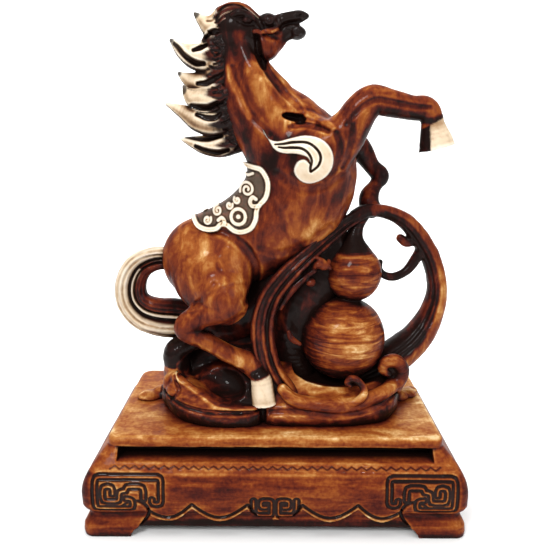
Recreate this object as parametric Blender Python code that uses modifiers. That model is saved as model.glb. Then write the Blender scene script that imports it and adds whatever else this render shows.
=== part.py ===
"""Rearing horse with gourd, ingot and vine leaves, cast in one, on a footed plinth.

Metres, +Z up. The origin is the centre of the plinth's underside. The horse faces +X and its
near side is -Y. Run with: blender --background --python part.py
"""

import math

import bmesh
import bpy
from mathutils import Matrix, Vector

# Plinth: the flat platform, and how far each part of its side stands out past the platform.
PLINTH_HEIGHT = 0.070
PLATFORM_LENGTH = 0.245
PLATFORM_DEPTH = 0.125
CORNER_RADIUS = 0.008
LIP_HEIGHT = 0.0075
LIP_ROUNDING = 0.004
BELLY_BULGE = 0.0165
BELLY_TOP = 0.0314
BELLY_BOTTOM = 0.0240
TUCK_BULGE = 0.0120
FOOT_FLARE = 0.0165
FOOT_HEIGHT = 0.0156
FOOT_WIDTH = 0.035

# Long slot under the front lip.
SLOT_HEIGHT = 0.0080
SLOT_END_WALL = 0.0090
SLOT_DEPTH = 0.0120

# Apron between the feet: a scalloped board above a rail that is set in.
FLOOR_GAP = 0.0062
APRON_SETBACK = 0.0003
RAIL_BULGE = 0.0122
SCALLOP_TOP = 0.0240
SCALLOP_BOTTOM = 0.0135
DROP_HALF_WIDTH = 0.0195

# Frets on the front: lines left standing in a sunk ground.
FRET_LINE = 0.0020
FRET_SINK = 0.0010
FRET_LENGTH = 0.0525
FRET_HEIGHT = 0.0300
FRET_BASE = 0.0180
FRET_INSET = 0.0086
HOOK_BASE = 0.0165

# Figure: one unit of its pose is a 302nd of its height.
FIGURE_HEIGHT = 0.302
UNIT = FIGURE_HEIGHT / 302
SEAT_CLEARANCE = 0.0003
FIGURE_VOXEL = 1.4 * UNIT
FIGURE_SHARE_OF_FACES = 0.0245
RELIEF_VOXEL = 2.5 * UNIT
RELIEF_SHARE_OF_FACES = 0.07
CLOTH_RELIEF = 2.0 * UNIT
SCROLL_RELIEF = 2.4 * UNIT

RING_STEPS = 4
TIP_STEPS = ((0.50, 0.866), (0.866, 0.50), (1.0, 0.05))


def clear_scene():
    for obj in list(bpy.data.objects):
        bpy.data.objects.remove(obj, do_unlink=True)


def new_collection(name):
    collection = bpy.data.collections.new(name)
    bpy.context.scene.collection.children.link(collection)
    return collection


def new_material(name, colour, roughness):
    material = bpy.data.materials.new(name)
    material.use_nodes = True
    shader = material.node_tree.nodes["Principled BSDF"]
    shader.inputs["Base Color"].default_value = (*colour, 1.0)
    shader.inputs["Roughness"].default_value = roughness
    shader.inputs["Metallic"].default_value = 0.0
    material.diffuse_color = (*colour, 1.0)
    return material


def new_object(name, data, collection):
    obj = bpy.data.objects.new(name, data)
    collection.objects.link(obj)
    return obj


def hide_helper(obj):
    obj.hide_render = True
    obj.display_type = "WIRE"


def evaluated_mesh(obj):
    bpy.context.view_layer.update()
    return bpy.data.meshes.new_from_object(obj.evaluated_get(bpy.context.evaluated_depsgraph_get()))


def add_boolean(obj, operation, other, solver="EXACT"):
    modifier = obj.modifiers.new(f"{operation.lower()} {other.name}", "BOOLEAN")
    modifier.operation = operation
    modifier.object = other
    modifier.solver = solver


def mesh_from(name, bm):
    bmesh.ops.recalc_face_normals(bm, faces=bm.faces)
    if bm.calc_volume(signed=True) < 0:
        bmesh.ops.reverse_faces(bm, faces=bm.faces)
    mesh = bpy.data.meshes.new(name)
    bm.to_mesh(mesh)
    bm.free()
    return mesh


def extruded(name, outlines, start, end, collection, turn=0.0):
    """A helper solid: flat outlines of (across, up), run along Y from start to end.

    A turn about Z points the run along another side of the object.
    """
    curve = bpy.data.curves.new(name, "CURVE")
    curve.dimensions = "2D"
    curve.fill_mode = "BOTH"
    curve.extrude = (end - start) / 2
    for outline in outlines:
        spline = curve.splines.new("POLY")
        spline.points.add(len(outline) - 1)
        for point, (across, up) in zip(spline.points, outline):
            point.co = (across, up, 0.0, 1.0)
        spline.use_cyclic_u = True
    guide = new_object(name + " outline", curve, collection)
    mesh = evaluated_mesh(guide)
    bpy.data.objects.remove(guide, do_unlink=True)
    bm = bmesh.new()
    bm.from_mesh(mesh)
    bmesh.ops.remove_doubles(bm, verts=bm.verts, dist=1e-6)
    stand_up = Matrix.Rotation(math.radians(90), 4, "X")
    shift = Matrix.Translation((0.0, (start + end) / 2, 0.0))
    bm.transform(Matrix.Rotation(turn, 4, "Z") @ shift @ stand_up)
    solid = new_object(name, mesh_from(name, bm), collection)
    hide_helper(solid)
    return solid


# Plinth


def side_profile(proud=0.0):
    """(height, outward offset) up the plinth's side, each offset with proud added."""
    shoulder = PLINTH_HEIGHT - LIP_HEIGHT
    profile = [
        (0.0, FOOT_FLARE - 0.0005),
        (FOOT_HEIGHT * 0.25, FOOT_FLARE),
        (FOOT_HEIGHT * 0.55, FOOT_FLARE - 0.0006),
        (FOOT_HEIGHT, TUCK_BULGE),
        (FOOT_HEIGHT + 0.25 * (BELLY_BOTTOM - FOOT_HEIGHT), TUCK_BULGE + 0.0005),
        (BELLY_BOTTOM - 0.35 * (BELLY_BOTTOM - FOOT_HEIGHT), BELLY_BULGE - 0.0013),
        (BELLY_BOTTOM, BELLY_BULGE),
    ]
    for step in range(8):
        share = step / 7
        bulge = BELLY_BULGE * math.cos(0.5 * math.pi * share**1.12)
        profile.append((BELLY_TOP + share * (shoulder - BELLY_TOP), bulge))
    for step in range(RING_STEPS + 1):
        angle = 0.5 * math.pi * step / RING_STEPS
        inward = LIP_ROUNDING * (1 - math.cos(angle))
        rise = LIP_ROUNDING * math.sin(angle)
        profile.append((PLINTH_HEIGHT - LIP_ROUNDING + rise, -inward))
    return [(height, offset + proud) for height, offset in profile]


def rounded_rectangle(half_length, half_depth, radius):
    points = []
    for quarter, (sign_x, sign_y) in enumerate(((1, 1), (-1, 1), (-1, -1), (1, -1))):
        for step in range(RING_STEPS + 1):
            angle = 0.5 * math.pi * (quarter + step / RING_STEPS)
            x = sign_x * (half_length - radius) + radius * math.cos(angle)
            y = sign_y * (half_depth - radius) + radius * math.sin(angle)
            points.append((x, y))
    return points


def plinth_block(name, proud, collection):
    """The plinth's outer form, a loft of rounded rectangles up the side profile."""
    bm = bmesh.new()
    rings = []
    for height, offset in side_profile(proud):
        half_length = PLATFORM_LENGTH / 2 + offset
        half_depth = PLATFORM_DEPTH / 2 + offset
        ring = rounded_rectangle(half_length, half_depth, CORNER_RADIUS)
        rings.append([bm.verts.new((x, y, height)) for x, y in ring])
    for lower, upper in zip(rings, rings[1:]):
        for i in range(len(lower)):
            j = (i + 1) % len(lower)
            bm.faces.new((lower[i], lower[j], upper[j], upper[i]))
    bm.faces.new(list(reversed(rings[0])))
    bm.faces.new(rings[-1])
    return new_object(name, mesh_from(name, bm), collection)


def scallop(start, end, sag, steps=6):
    """Points of one hanging lobe of the apron's edge, without its last point."""
    points = []
    for step in range(steps):
        share = step / steps
        across = start[0] + share * (end[0] - start[0])
        up = start[1] + share * (end[1] - start[1]) - sag * math.sin(math.pi * share)
        points.append((across, up))
    return points


def foot_edge(half_gap):
    """The curved inner edge of a foot, from the apron's edge down to the floor."""
    return [
        (half_gap - 0.0140, 0.0190),
        (half_gap - 0.0125, 0.0150),
        (half_gap - 0.0080, 0.0095),
        (half_gap - 0.0031, 0.0053),
        (half_gap - 0.0008, 0.0020),
        (half_gap, -0.0010),
    ]


def apron_outline(half_gap, drop_half_width, lobes):
    """The apron board between two feet: scalloped below, and hidden in the belly above.

    A board with a drop has it in the middle, between the lobes.
    """
    sag = SCALLOP_TOP - SCALLOP_BOTTOM
    last = foot_edge(half_gap)[0]
    cusps = [(drop_half_width, SCALLOP_TOP)]
    for lobe in range(1, lobes):
        across = drop_half_width + (last[0] - drop_half_width) * lobe * 1.12 / lobes
        cusps.append((across, SCALLOP_TOP))
    cusps.append(last)
    right = [(0.7 * drop_half_width, HOOK_BASE - 0.001)] if drop_half_width else []
    for start, end in zip(cusps, cusps[1:]):
        level = (start[1] + end[1]) / 2 - SCALLOP_TOP
        right += scallop(start, end, sag + level)
    right += [last, (last[0], BELLY_TOP)]
    left = mirrored([point for point in right if point[0] > 0])
    return left + right


def rail_outline(half_gap):
    """The opening between two feet, up to the tuck under the belly."""
    right = foot_edge(half_gap)
    return mirrored(right) + right


def floor_outline(half_gap):
    """The clear space under the apron, between two feet."""
    edge = [point for point in foot_edge(half_gap) if point[1] < FLOOR_GAP]
    top = (edge[0][0] - 0.0008, FLOOR_GAP)
    right = [top] + edge
    return mirrored(right) + right


def ribbon_outline(path):
    """The outline of a square-cornered line of FRET_LINE width along a path."""
    half = FRET_LINE / 2
    left, right = [], []
    for i, point in enumerate(path):
        before = path[max(i - 1, 0)]
        after = path[min(i + 1, len(path) - 1)]
        arriving = Vector(point) - Vector(before)
        leaving = Vector(after) - Vector(point)
        arriving = (arriving if arriving.length else leaving).normalized()
        leaving = (leaving if leaving.length else arriving).normalized()
        side = Vector((-arriving.y, arriving.x)) + Vector((-leaving.y, leaving.x))
        side *= half / (0.5 * side.length_squared)
        ends = (i == 0) * -half * arriving + (i == len(path) - 1) * half * leaving
        left.append(tuple(Vector(point) + side + ends))
        right.append(tuple(Vector(point) - side + ends))
    return left + right[::-1]


def corner_fret():
    """A corner fret's ground and its two lines, right of the axis, in (across, up)."""
    ground = [(0.3, 0.4), (15.4, 0.4), (15.4, 1.9), (24.8, 1.9), (24.8, 11.7), (0.3, 11.7)]
    frame = [(20.6, 4.4), (20.6, 2.9), (23.6, 2.9), (23.6, 10.6), (1.4, 10.6)]
    frame += [(1.4, 1.4), (14, 1.4), (14, 4.6), (11.8, 4.6)]
    spiral = [(17.8, 4.6), (17.8, 8.2), (12, 8.2), (12, 6.9), (9.6, 6.9)]
    spiral += [(9.6, 3.7), (4, 3.7), (4, 8.2), (7.4, 8.2), (7.4, 6)]
    corner = PLATFORM_LENGTH / 2 + BELLY_BULGE - FRET_INSET
    across_step = FRET_LENGTH / 25
    up_step = FRET_HEIGHT / 12
    paths = []
    for path in (ground, frame, spiral):
        paths.append([(corner - across * across_step, FRET_BASE + up * up_step) for across, up in path])
    return paths


def middle_fret():
    """The middle fret's ground, and the hook right of the axis, in (across, up)."""
    ground = [(0.0, -0.4), (14.0, -0.4), (17.6, 3.0), (17.6, 15.6), (0.0, 15.6)]
    hook = [(6.0, 8.0), (10.0, 8.0), (10.0, 13.4), (2.4, 13.4), (2.4, 1.8), (13.0, 1.8)]
    hook += [(15.2, 4.0), (15.2, 13.4)]
    paths = []
    for path in (ground, hook):
        paths.append([(across / 1000, HOOK_BASE + up / 1000) for across, up in path])
    return paths


def mirrored(path):
    return [(-across, up) for across, up in reversed(path)]


def fret_outlines():
    """The grounds of the frets, with their lines inside them."""
    corner_ground, *corner_lines = corner_fret()
    middle_ground, hook = middle_fret()
    outlines = [corner_ground, mirrored(corner_ground), mirrored(middle_ground[1:-1]) + middle_ground[1:-1]]
    for line in (*corner_lines, hook):
        outlines.append(ribbon_outline(line))
        outlines.append(mirrored(ribbon_outline(line)))
    return outlines


def build_plinth(collection, helpers, material):
    plinth = plinth_block("plinth", 0.0, collection)
    plinth.data.materials.append(material)
    front = -(PLATFORM_DEPTH / 2 + BELLY_BULGE)
    beyond = 0.01

    slot_half = PLATFORM_LENGTH / 2 - SLOT_END_WALL
    slot_top = PLINTH_HEIGHT - LIP_HEIGHT
    slot_rectangle = [
        (-slot_half, slot_top - SLOT_HEIGHT),
        (slot_half, slot_top - SLOT_HEIGHT),
        (slot_half, slot_top),
        (-slot_half, slot_top),
    ]
    slot_back = -PLATFORM_DEPTH / 2 + SLOT_DEPTH
    slot = extruded("slot cutter", [slot_rectangle], front - beyond, slot_back, helpers)
    add_boolean(plinth, "DIFFERENCE", slot)

    boards = []
    for name, length, depth, turn, drop, lobes in (
        ("front", PLATFORM_LENGTH, PLATFORM_DEPTH, 0.0, DROP_HALF_WIDTH, 2),
        ("right", PLATFORM_DEPTH, PLATFORM_LENGTH, 0.5 * math.pi, 0.0, 1),
        ("back", PLATFORM_LENGTH, PLATFORM_DEPTH, math.pi, DROP_HALF_WIDTH, 2),
        ("left", PLATFORM_DEPTH, PLATFORM_LENGTH, 1.5 * math.pi, 0.0, 1),
    ):
        half_gap = length / 2 + FOOT_FLARE - FOOT_WIDTH
        edge = -(depth / 2 + FOOT_FLARE) - beyond
        recess = -(depth / 2 + RAIL_BULGE)
        rail = extruded(f"{name} rail cutter", [rail_outline(half_gap)], edge, recess, helpers, turn)
        add_boolean(plinth, "DIFFERENCE", rail)
        face = -(depth / 2 + BELLY_BULGE - APRON_SETBACK)
        outline = apron_outline(half_gap, drop, lobes)
        boards.append(extruded(f"{name} apron", [outline], face, -depth / 2, helpers, turn))
        if turn < math.pi:
            gap = extruded(f"{name} gap cutter", [floor_outline(half_gap)], edge, -edge, helpers, turn)
            add_boolean(plinth, "DIFFERENCE", gap)
    for board in boards:
        add_boolean(plinth, "UNION", board)

    frets = extruded("fret cutter", fret_outlines(), front - beyond, front + BELLY_BULGE, helpers)
    ground = plinth_block("fret ground", -FRET_SINK, helpers)
    hide_helper(ground)
    add_boolean(frets, "DIFFERENCE", ground)
    add_boolean(plinth, "DIFFERENCE", frets)
    return plinth


# Figure: stations are (x, y, height above the platform, radius) in units of the figure.


def smooth_stations(stations, per_span=4):
    """More stations on a Catmull-Rom curve through the given ones."""
    points = [Vector(station) for station in stations]
    padded = [2 * points[0] - points[1]] + points + [2 * points[-1] - points[-2]]
    result = []
    for p0, p1, p2, p3 in zip(padded, padded[1:], padded[2:], padded[3:]):
        for step in range(per_span):
            t = step / per_span
            bend = (2 * p0 - 5 * p1 + 4 * p2 - p3) * t * t + (3 * p1 - p0 - 3 * p2 + p3) * t**3
            result.append(0.5 * (2 * p1 + (p2 - p0) * t + bend))
    result.append(points[-1])
    return result


def rounded_tip(end, inner):
    """Stations that close an end with a dome, beyond the end and away from inner."""
    radius = end[3]
    outward = (end.to_3d() - inner.to_3d()).normalized()
    tip = []
    for reach, share in TIP_STEPS:
        place = end.to_3d() + outward * radius * reach
        tip.append(Vector((*place, radius * share)))
    return tip


def strand(stations, aside, share):
    """A thinner form beside a form's centre line, aside in the XZ plane, in shares of its radius."""
    points = [Vector(station) for station in stations]
    result = []
    for i, point in enumerate(points):
        along = points[min(i + 1, len(points) - 1)] - points[max(i - 1, 0)]
        normal = Vector((-along.z, 0.0, along.x)).normalized()
        place = point.to_3d() + normal * aside * point[3]
        result.append((*place, point[3] * share))
    return result


def sweep(stations, width=1.0, flat_end=False):
    """A round limb along stations. Its thickness in Y is width times the rest."""
    path = smooth_stations(stations)
    head = rounded_tip(path[0], path[1])[::-1]
    tail = [] if flat_end else rounded_tip(path[-1], path[-2])
    return head + path + tail, width


def body_forms():
    """The trunk, neck and forelegs, which the raised ornament lies on."""
    trunk = [
        (-55, 0, 118, 33), (-26, 0, 131, 33.5), (-3, 0, 146, 36),
        (13, 0, 163, 39.5), (20, 0, 188, 39), (7.5, 0, 210.5, 31),
    ]
    neck = [
        (6, 0, 206.5, 30.5), (-7.5, 0, 223.5, 27.5), (-15.5, 0, 236.5, 24),
        (-22, 0, 250, 19), (-25.5, 0, 263, 15.7), (-27, 0, 279, 14),
    ]
    near_foreleg = [
        (30, -18, 198, 21.5), (42, -23, 207.5, 16.5), (51, -26, 218.5, 13),
        (57.5, -27, 229, 11.6), (65, -28, 235, 10.1), (76.4, -28, 233.2, 9.1),
        (91, -28, 230.2, 8.3), (104, -28, 228.5, 7.7), (106.4, -28, 221.6, 7),
    ]
    far_foreleg = [
        (40, 16, 198, 19), (51, 20, 203, 15), (62, 22, 203, 11.5), (69, 22, 198, 10),
        (76, 22, 189.5, 8.3), (81.6, 20, 181.6, 7.4), (77, 18, 173, 6.2),
        (71.5, 15, 166, 6.4), (73.5, 11, 159, 7.5),
    ]
    forms = [sweep(trunk, 0.78), sweep(neck, 0.60), sweep(near_foreleg), sweep(far_foreleg)]
    masses = [
        ((-47, -15, 109), (31, 20, 31)), ((-47, 15, 109), (31, 20, 31)),
        ((24, -15, 191), (25, 16, 27)), ((24, 15, 191), (25, 16, 27)),
    ]
    return forms, masses


def horse_forms():
    body, masses = body_forms()
    skull = [
        (-30, 0, 285, 13.5), (-19, 0, 285.5, 10.5), (-8.5, 0, 287, 8.5),
        (0.5, 0, 289.3, 6.5), (9, 0, 291.4, 5.2), (16, 0, 293, 4.2), (20.6, 0, 292.6, 3.2),
    ]
    jaw = [
        (-10.5, 0, 274.5, 10), (-3, 0, 275.8, 7.7), (3.6, 0, 279.3, 5),
        (10, 0, 280.3, 4.2), (16, 0, 280.8, 4.4),
    ]
    near_fore_hoof = [(105.6, -28, 221, 7.2), (106.8, -28, 217, 8.5), (110.6, -28, 203, 12.8)]
    near_hind_leg = [
        (-40, -24, 97, 20), (-38, -28, 90, 16), (-52, -30, 83.5, 10.8), (-67.6, -30, 71.9, 8.4),
        (-53, -30, 61.8, 7.1), (-34.4, -30, 50.8, 7.3), (-20.2, -30, 44.5, 8.3), (-14.9, -30, 37.2, 6.8),
    ]
    near_hind_hoof = [(-14, -31, 33, 6.8), (-11.5, -33, 26, 8.2), (-8, -36, 9, 10)]
    far_hind_leg = [
        (-42, 18, 98, 21), (-29, 24, 70, 11), (-45, 28, 55, 8.5),
        (-30, 28, 43, 7), (-18, 27, 36, 7.5), (-13, 27, 28, 7),
    ]
    far_hind_hoof = [(-12.5, 27, 26, 7), (-9, 27, 10, 10)]
    forms = body + [
        sweep(skull, 0.78), sweep(jaw, 0.75), sweep(near_fore_hoof, 0.85, flat_end=True),
        sweep(near_hind_leg), sweep(near_hind_hoof, flat_end=True),
        sweep(far_hind_leg), sweep(far_hind_hoof, flat_end=True),
    ]
    return forms, masses + [((-10, 0, 275.5), (11, 8, 11))]


def mane_forms():
    first = [(-38, 0, 282, 10), (-46, 0, 284, 8), (-53, 0, 289, 4.4), (-58.5, 0, 294, 1.4)]
    second = [(-34, 0, 272, 11), (-50, 0, 264.5, 11), (-60.5, 0, 265.5, 8.6), (-69, 0, 270, 5)]
    second += [(-75.8, 0, 276.5, 1.4)]
    third = [(-32, 2, 254, 12), (-49, 2, 247.5, 10), (-59, 2, 247.5, 7.6), (-66, 2, 250.5, 4.2)]
    third += [(-71.2, 2, 254.5, 1.4)]
    fourth = [(-30, -4, 242, 11), (-48.5, -4, 235.5, 10), (-58.6, -4, 236, 7.8), (-64.5, -4, 240, 4)]
    fourth += [(-67, -4, 245, 1.4)]
    fifth = [(-26, 0, 226, 12), (-46, 0, 220.5, 11), (-58, 0, 222, 9), (-68, 0, 227, 5.4)]
    fifth += [(-80.3, 0, 233, 1.4)]
    last = [(-22, 2, 211, 10), (-41, 2, 203.8, 9.2), (-53, 2, 203.8, 7.3), (-62.4, 2, 206, 4.3)]
    last += [(-70.5, 2, 208.2, 1.4)]
    crest = [
        (-42, 0, 286, 8.5), (-41, 0, 273, 12), (-38.5, 0, 256, 13),
        (-35.5, 0, 240, 13), (-28, 0, 224, 12.5), (-20, 0, 210, 9.5),
    ]
    forelock = [(-38.5, 0, 292, 7.3), (-32, 0, 295.4, 6.6), (-24, 0, 295.8, 5.5), (-16, 0, 293, 3.4)]
    forms = [sweep(lock, 0.85) for lock in (first, second, third, fourth, fifth, last)]
    return forms + [sweep(crest, 0.9), sweep(forelock, 1.2)]


def tail_forms():
    tail = [
        (-72, 0, 114, 9), (-85.4, 0, 118.5, 8.8), (-98, 0, 116.8, 9.5), (-107.8, 0, 110.5, 10.8),
        (-113.6, 0, 98.4, 11.9), (-113, 0, 85, 12.8), (-105.3, 0, 75.3, 14.2),
        (-93.6, 0, 71, 15.2), (-80.1, 4, 68.5, 16), (-62, 6, 66, 14),
    ]
    strands = ((-0.50, 0.50), (0.14, 0.32), (0.60, 0.42))
    return [sweep(strand(tail, aside, share), 1.3) for aside, share in strands]


def gourd_forms():
    neck = [(59.5, -4, 122, 12.5), (59, -2, 134, 7.2), (61.5, 0, 144.4, 4.8), (67.5, 2, 153.4, 4.2)]
    bulbs = [((52.5, -6, 57), (33, 31.5, 33)), ((59.5, -4, 108.5), (21.5, 21, 22))]
    return [sweep(neck)], bulbs


def leaf_forms():
    """The long leaf up the horse's belly, the arch to the right, and their tendrils."""
    leaf = [
        (11, -30, 16, 9.5), (-2, -30, 35, 9.3), (-9, -28, 56, 9), (-9.8, -27, 77.6, 8.9),
        (-4.6, -26, 95, 8.1), (6.3, -24, 110, 7.4), (21, -20, 124, 6.6),
        (37.4, -14, 137.5, 5.9), (52, -6, 147.6, 5.3), (66, 0, 155, 4.6),
    ]
    arch = [
        (60, 0, 152, 5.2), (68, 1, 156, 5), (82.7, 3, 155.2, 5), (99.5, 6, 147.5, 6.3),
        (113, 8, 132.5, 7.3), (123.5, 10, 114.5, 7.5), (128.7, 10, 93, 8), (125.5, 10, 72, 9.8),
        (116, 8, 54.5, 12), (103, 6, 42, 13.5), (88, 4, 32, 14), (70, 2, 22, 13),
    ]
    backing = [(16, 2, 20, 17), (10, 4, 42, 20), (16, 5, 72, 24), (29, 4, 98, 22), (45, 2, 125, 13)]
    under_belly = [
        (-46, 4, 62, 16), (-30, 4, 68, 17), (-12, 2, 84, 17),
        (4, 0, 104, 16), (24, 0, 124, 13), (45, 0, 141, 9),
    ]
    tendril = [
        (113.5, 8, 124, 4.6), (106.6, 7, 113, 4.0), (101, 6, 107, 3.6), (92.8, 5, 103.6, 3.3),
        (84.9, 4, 105, 3.0), (80.5, 3, 110.2, 2.6), (80.8, 3, 115.8, 2.3),
    ]
    bud = [(109, 8, 134.5, 5.2), (101.5, 7, 131, 4.1), (96.4, 7, 134, 3.3)]
    rims = ((0.62, 0.42), (-0.62, 0.42))
    forms = [sweep(strand(leaf, aside, share), 1.5) for aside, share in rims]
    forms += [sweep([(x, y + 3, z, 0.75 * r) for x, y, z, r in leaf], 1.0)]
    forms += [sweep(arch, 1.1), sweep(backing, 0.8), sweep(under_belly, 0.8)]
    return forms + [sweep(tendril), sweep(bud)]


def rock_forms():
    """The ingot under the hind hooves, the low bowl of rock under the gourd, and its curls."""
    foot = [(-64, -4, 3, 26), (-30, -5, 3, 41), (10, -4, 3, 42), (50, -4, 3, 41), (82, -4, 3, 31)]
    rim = [
        (-1, -36, 28, 4), (14, -41, 20, 5.5), (33, -42, 16.5, 6), (55, -40.5, 17, 6),
        (78, -34, 20.5, 6), (93, -22, 23, 6.5), (99, -6, 26, 7),
    ]
    rim_wall = [
        (8, -31, 12, 16), (33, -32, 9, 16), (58, -31, 9, 15.5),
        (78, -24, 11, 16), (88, -8, 13, 18), (82, 12, 12, 17),
    ]
    boat_rim = [
        (-81, -18, 31, 5), (-73, -31, 32.5, 5), (-62, -38, 28, 5.5), (-50, -41, 23, 5.5),
        (-38, -42.5, 17, 5.5), (-24, -43, 13, 5), (-10, -42, 12, 5),
    ]
    boat_wall = [
        (-77, -12, 17, 13), (-69, -24, 19, 16), (-55, -29, 16, 18), (-38, -31, 10, 17), (-14, -32, 7, 16),
    ]
    horn = [(-78, -6, 22, 12), (-80, -8, 35, 9.5), (-77, -8, 46, 8.5), (-68, -8, 51, 7.5), (-56, -6, 54, 7)]
    back_wall = [(-66, 8, 24, 18), (-50, 10, 38, 17), (-34, 10, 46, 16), (-12, 10, 40, 18), (2, 8, 24, 18)]
    front_curl = [(56, -42, 19, 4.5), (63.5, -40, 26, 3.8), (63, -38, 33.5, 4), (56, -38, 36.4, 3.4)]
    back_curl = [(95, -20, 25, 6.5), (95, -20, 35, 6.8), (86, -22, 39.4, 5)]
    bowl_floor = ((48, -2, 10), (46, 34, 16))
    forms = [sweep(foot, 1.0), sweep(rim), sweep(rim_wall), sweep(boat_rim), sweep(boat_wall)]
    forms += [sweep(horn, 1.5), sweep(back_wall, 0.9), sweep(front_curl), sweep(back_curl)]
    return forms, [bowl_floor]


def cloth_outline():
    """Edge of the saddle cloth seen from the side: two lobes of cloud, closed over the back."""
    lobes = [(-15, 190), (-7.5, 183), (-5, 174), (-8, 166), (-13.5, 160), (-13.5, 152), (-17, 146)]
    lobes += [(-25, 142), (-33, 142.5), (-38.5, 147), (-43, 143.5), (-51, 142.5), (-59, 145.5), (-65, 151)]
    back = [(-74, 160), (-56, 176), (-36, 188), (-24, 200)]
    return lobes + back


def scroll_outline():
    """Edge of the shoulder scroll: a comma with its tail up the neck and its ball below."""
    outer = [(-10, 215), (-7, 209), (0, 206.5), (9, 209), (19, 211.5), (29, 209.5), (35.5, 203.5)]
    outer += [(38, 196), (36.5, 188), (31, 182), (23, 179), (16, 181), (11.5, 187), (13, 193.5)]
    inner = [(18.5, 196), (22.5, 193), (20, 197.5), (13, 199), (4, 199), (-3, 203)]
    return outer + inner


def figure_casting(forms, masses, helpers):
    """One mesh of every form, overlapping as the clay did before they were blended.

    It stands on the figure's own level, so that the blend's grid lies alike at every size.
    """
    guides = []
    for index, (path, width) in enumerate(forms):
        curve = bpy.data.curves.new(f"form {index}", "CURVE")
        curve.dimensions = "3D"
        curve.bevel_depth = 1.0
        curve.bevel_resolution = 4
        curve.use_fill_caps = True
        spline = curve.splines.new("POLY")
        spline.points.add(len(path) - 1)
        for point, station in zip(spline.points, path):
            x, y, z, radius = station
            point.co = (x, y / width, z, 1.0)
            point.radius = radius
        guide = new_object(f"form {index}", curve, helpers)
        guides.append((guide, width))
    bm = bmesh.new()
    bpy.context.view_layer.update()
    graph = bpy.context.evaluated_depsgraph_get()
    for guide, width in guides:
        mesh = bpy.data.meshes.new_from_object(guide.evaluated_get(graph))
        mesh.transform(Matrix.Diagonal((1.0, width, 1.0, 1.0)))
        bm.from_mesh(mesh)
        bpy.data.meshes.remove(mesh)
    for guide, _ in guides:
        bpy.data.objects.remove(guide, do_unlink=True)
    for centre, radii in masses:
        place = Matrix.Translation(centre) @ Matrix.Diagonal((*radii, 1.0))
        bmesh.ops.create_uvsphere(bm, u_segments=24, v_segments=14, radius=1.0, matrix=place)
    bm.transform(Matrix.Scale(UNIT, 4))
    mesh = bpy.data.meshes.new("figure forms")
    bm.to_mesh(mesh)
    bm.free()
    return mesh


def blend_casting(name, forms, voxel, share_of_faces, helpers):
    """The forms blended into one skin with few faces."""
    raw = new_object(name, forms, helpers)
    hide_helper(raw)
    remesh = raw.modifiers.new("blend", "REMESH")
    remesh.mode = "VOXEL"
    remesh.voxel_size = voxel
    smooth = raw.modifiers.new("soften", "SMOOTH")
    smooth.factor = 0.5
    smooth.iterations = 2
    decimate = raw.modifiers.new("fewer faces", "DECIMATE")
    decimate.ratio = share_of_faces
    return raw


def on_platform(name, blended, collection):
    """The blended skin as an object of its own, raised from the figure's level onto the platform."""
    mesh = evaluated_mesh(blended)
    mesh.transform(Matrix.Translation((0.0, 0.0, PLINTH_HEIGHT)))
    return new_object(name, mesh, collection)


def raised_outline(name, outline, relief, helpers):
    """The part of the trunk and shoulders within a side outline, standing proud by the relief."""
    swell = relief / UNIT
    forms, masses = body_forms()
    grown_forms = []
    for path, width in forms:
        grown = [Vector((*station.to_3d(), station[3] + swell / width)) for station in path]
        grown_forms.append((grown, width))
    grown_masses = [(centre, tuple(radius + swell for radius in radii)) for centre, radii in masses]
    casting = figure_casting(grown_forms, grown_masses, helpers)
    blended = blend_casting(f"{name} forms", casting, RELIEF_VOXEL, RELIEF_SHARE_OF_FACES, helpers)
    layer = on_platform(name, blended, helpers)
    hide_helper(layer)
    half_depth = PLATFORM_DEPTH / 2
    points = [(x * UNIT, PLINTH_HEIGHT + z * UNIT) for x, z in outline]
    window = extruded(f"{name} window", [points], -half_depth, half_depth, helpers)
    add_boolean(layer, "INTERSECT", window, "MANIFOLD")
    return layer


def seat_cutter(helpers):
    """A block under the figure, up to the clearance over the platform."""
    bpy.ops.mesh.primitive_cube_add(size=1.0)
    block = bpy.context.object
    block.name = "seat cutter"
    depth = 0.08
    block.scale = (2 * PLATFORM_LENGTH, 2 * PLATFORM_DEPTH, depth)
    block.location = (0.0, 0.0, PLINTH_HEIGHT + SEAT_CLEARANCE - depth / 2)
    for collection in list(block.users_collection):
        collection.objects.unlink(block)
    helpers.objects.link(block)
    hide_helper(block)
    return block


def build_figure(collection, helpers, material):
    horse, horse_masses = horse_forms()
    gourd, bulbs = gourd_forms()
    rock, floors = rock_forms()
    forms = horse + mane_forms() + tail_forms() + gourd + leaf_forms() + rock
    casting = figure_casting(forms, horse_masses + bulbs + floors, helpers)
    blended = blend_casting("figure forms", casting, FIGURE_VOXEL, FIGURE_SHARE_OF_FACES, helpers)
    figure = on_platform("horse_and_gourd", blended, collection)
    figure.data.materials.append(material)
    cloth = raised_outline("saddle cloth", cloth_outline(), CLOTH_RELIEF, helpers)
    scroll = raised_outline("shoulder scroll", scroll_outline(), SCROLL_RELIEF, helpers)
    add_boolean(figure, "UNION", cloth, "MANIFOLD")
    add_boolean(figure, "UNION", scroll, "MANIFOLD")
    add_boolean(figure, "DIFFERENCE", seat_cutter(helpers))
    return figure


def main():
    clear_scene()
    parts = new_collection("horse statue")
    helpers = new_collection("cutters")
    walnut = new_material("plinth lacquer", (0.36, 0.15, 0.05), 0.35)
    cast_wood = new_material("figure lacquer", (0.30, 0.09, 0.03), 0.30)
    build_plinth(parts, helpers, walnut)
    build_figure(parts, helpers, cast_wood)


main()
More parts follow.
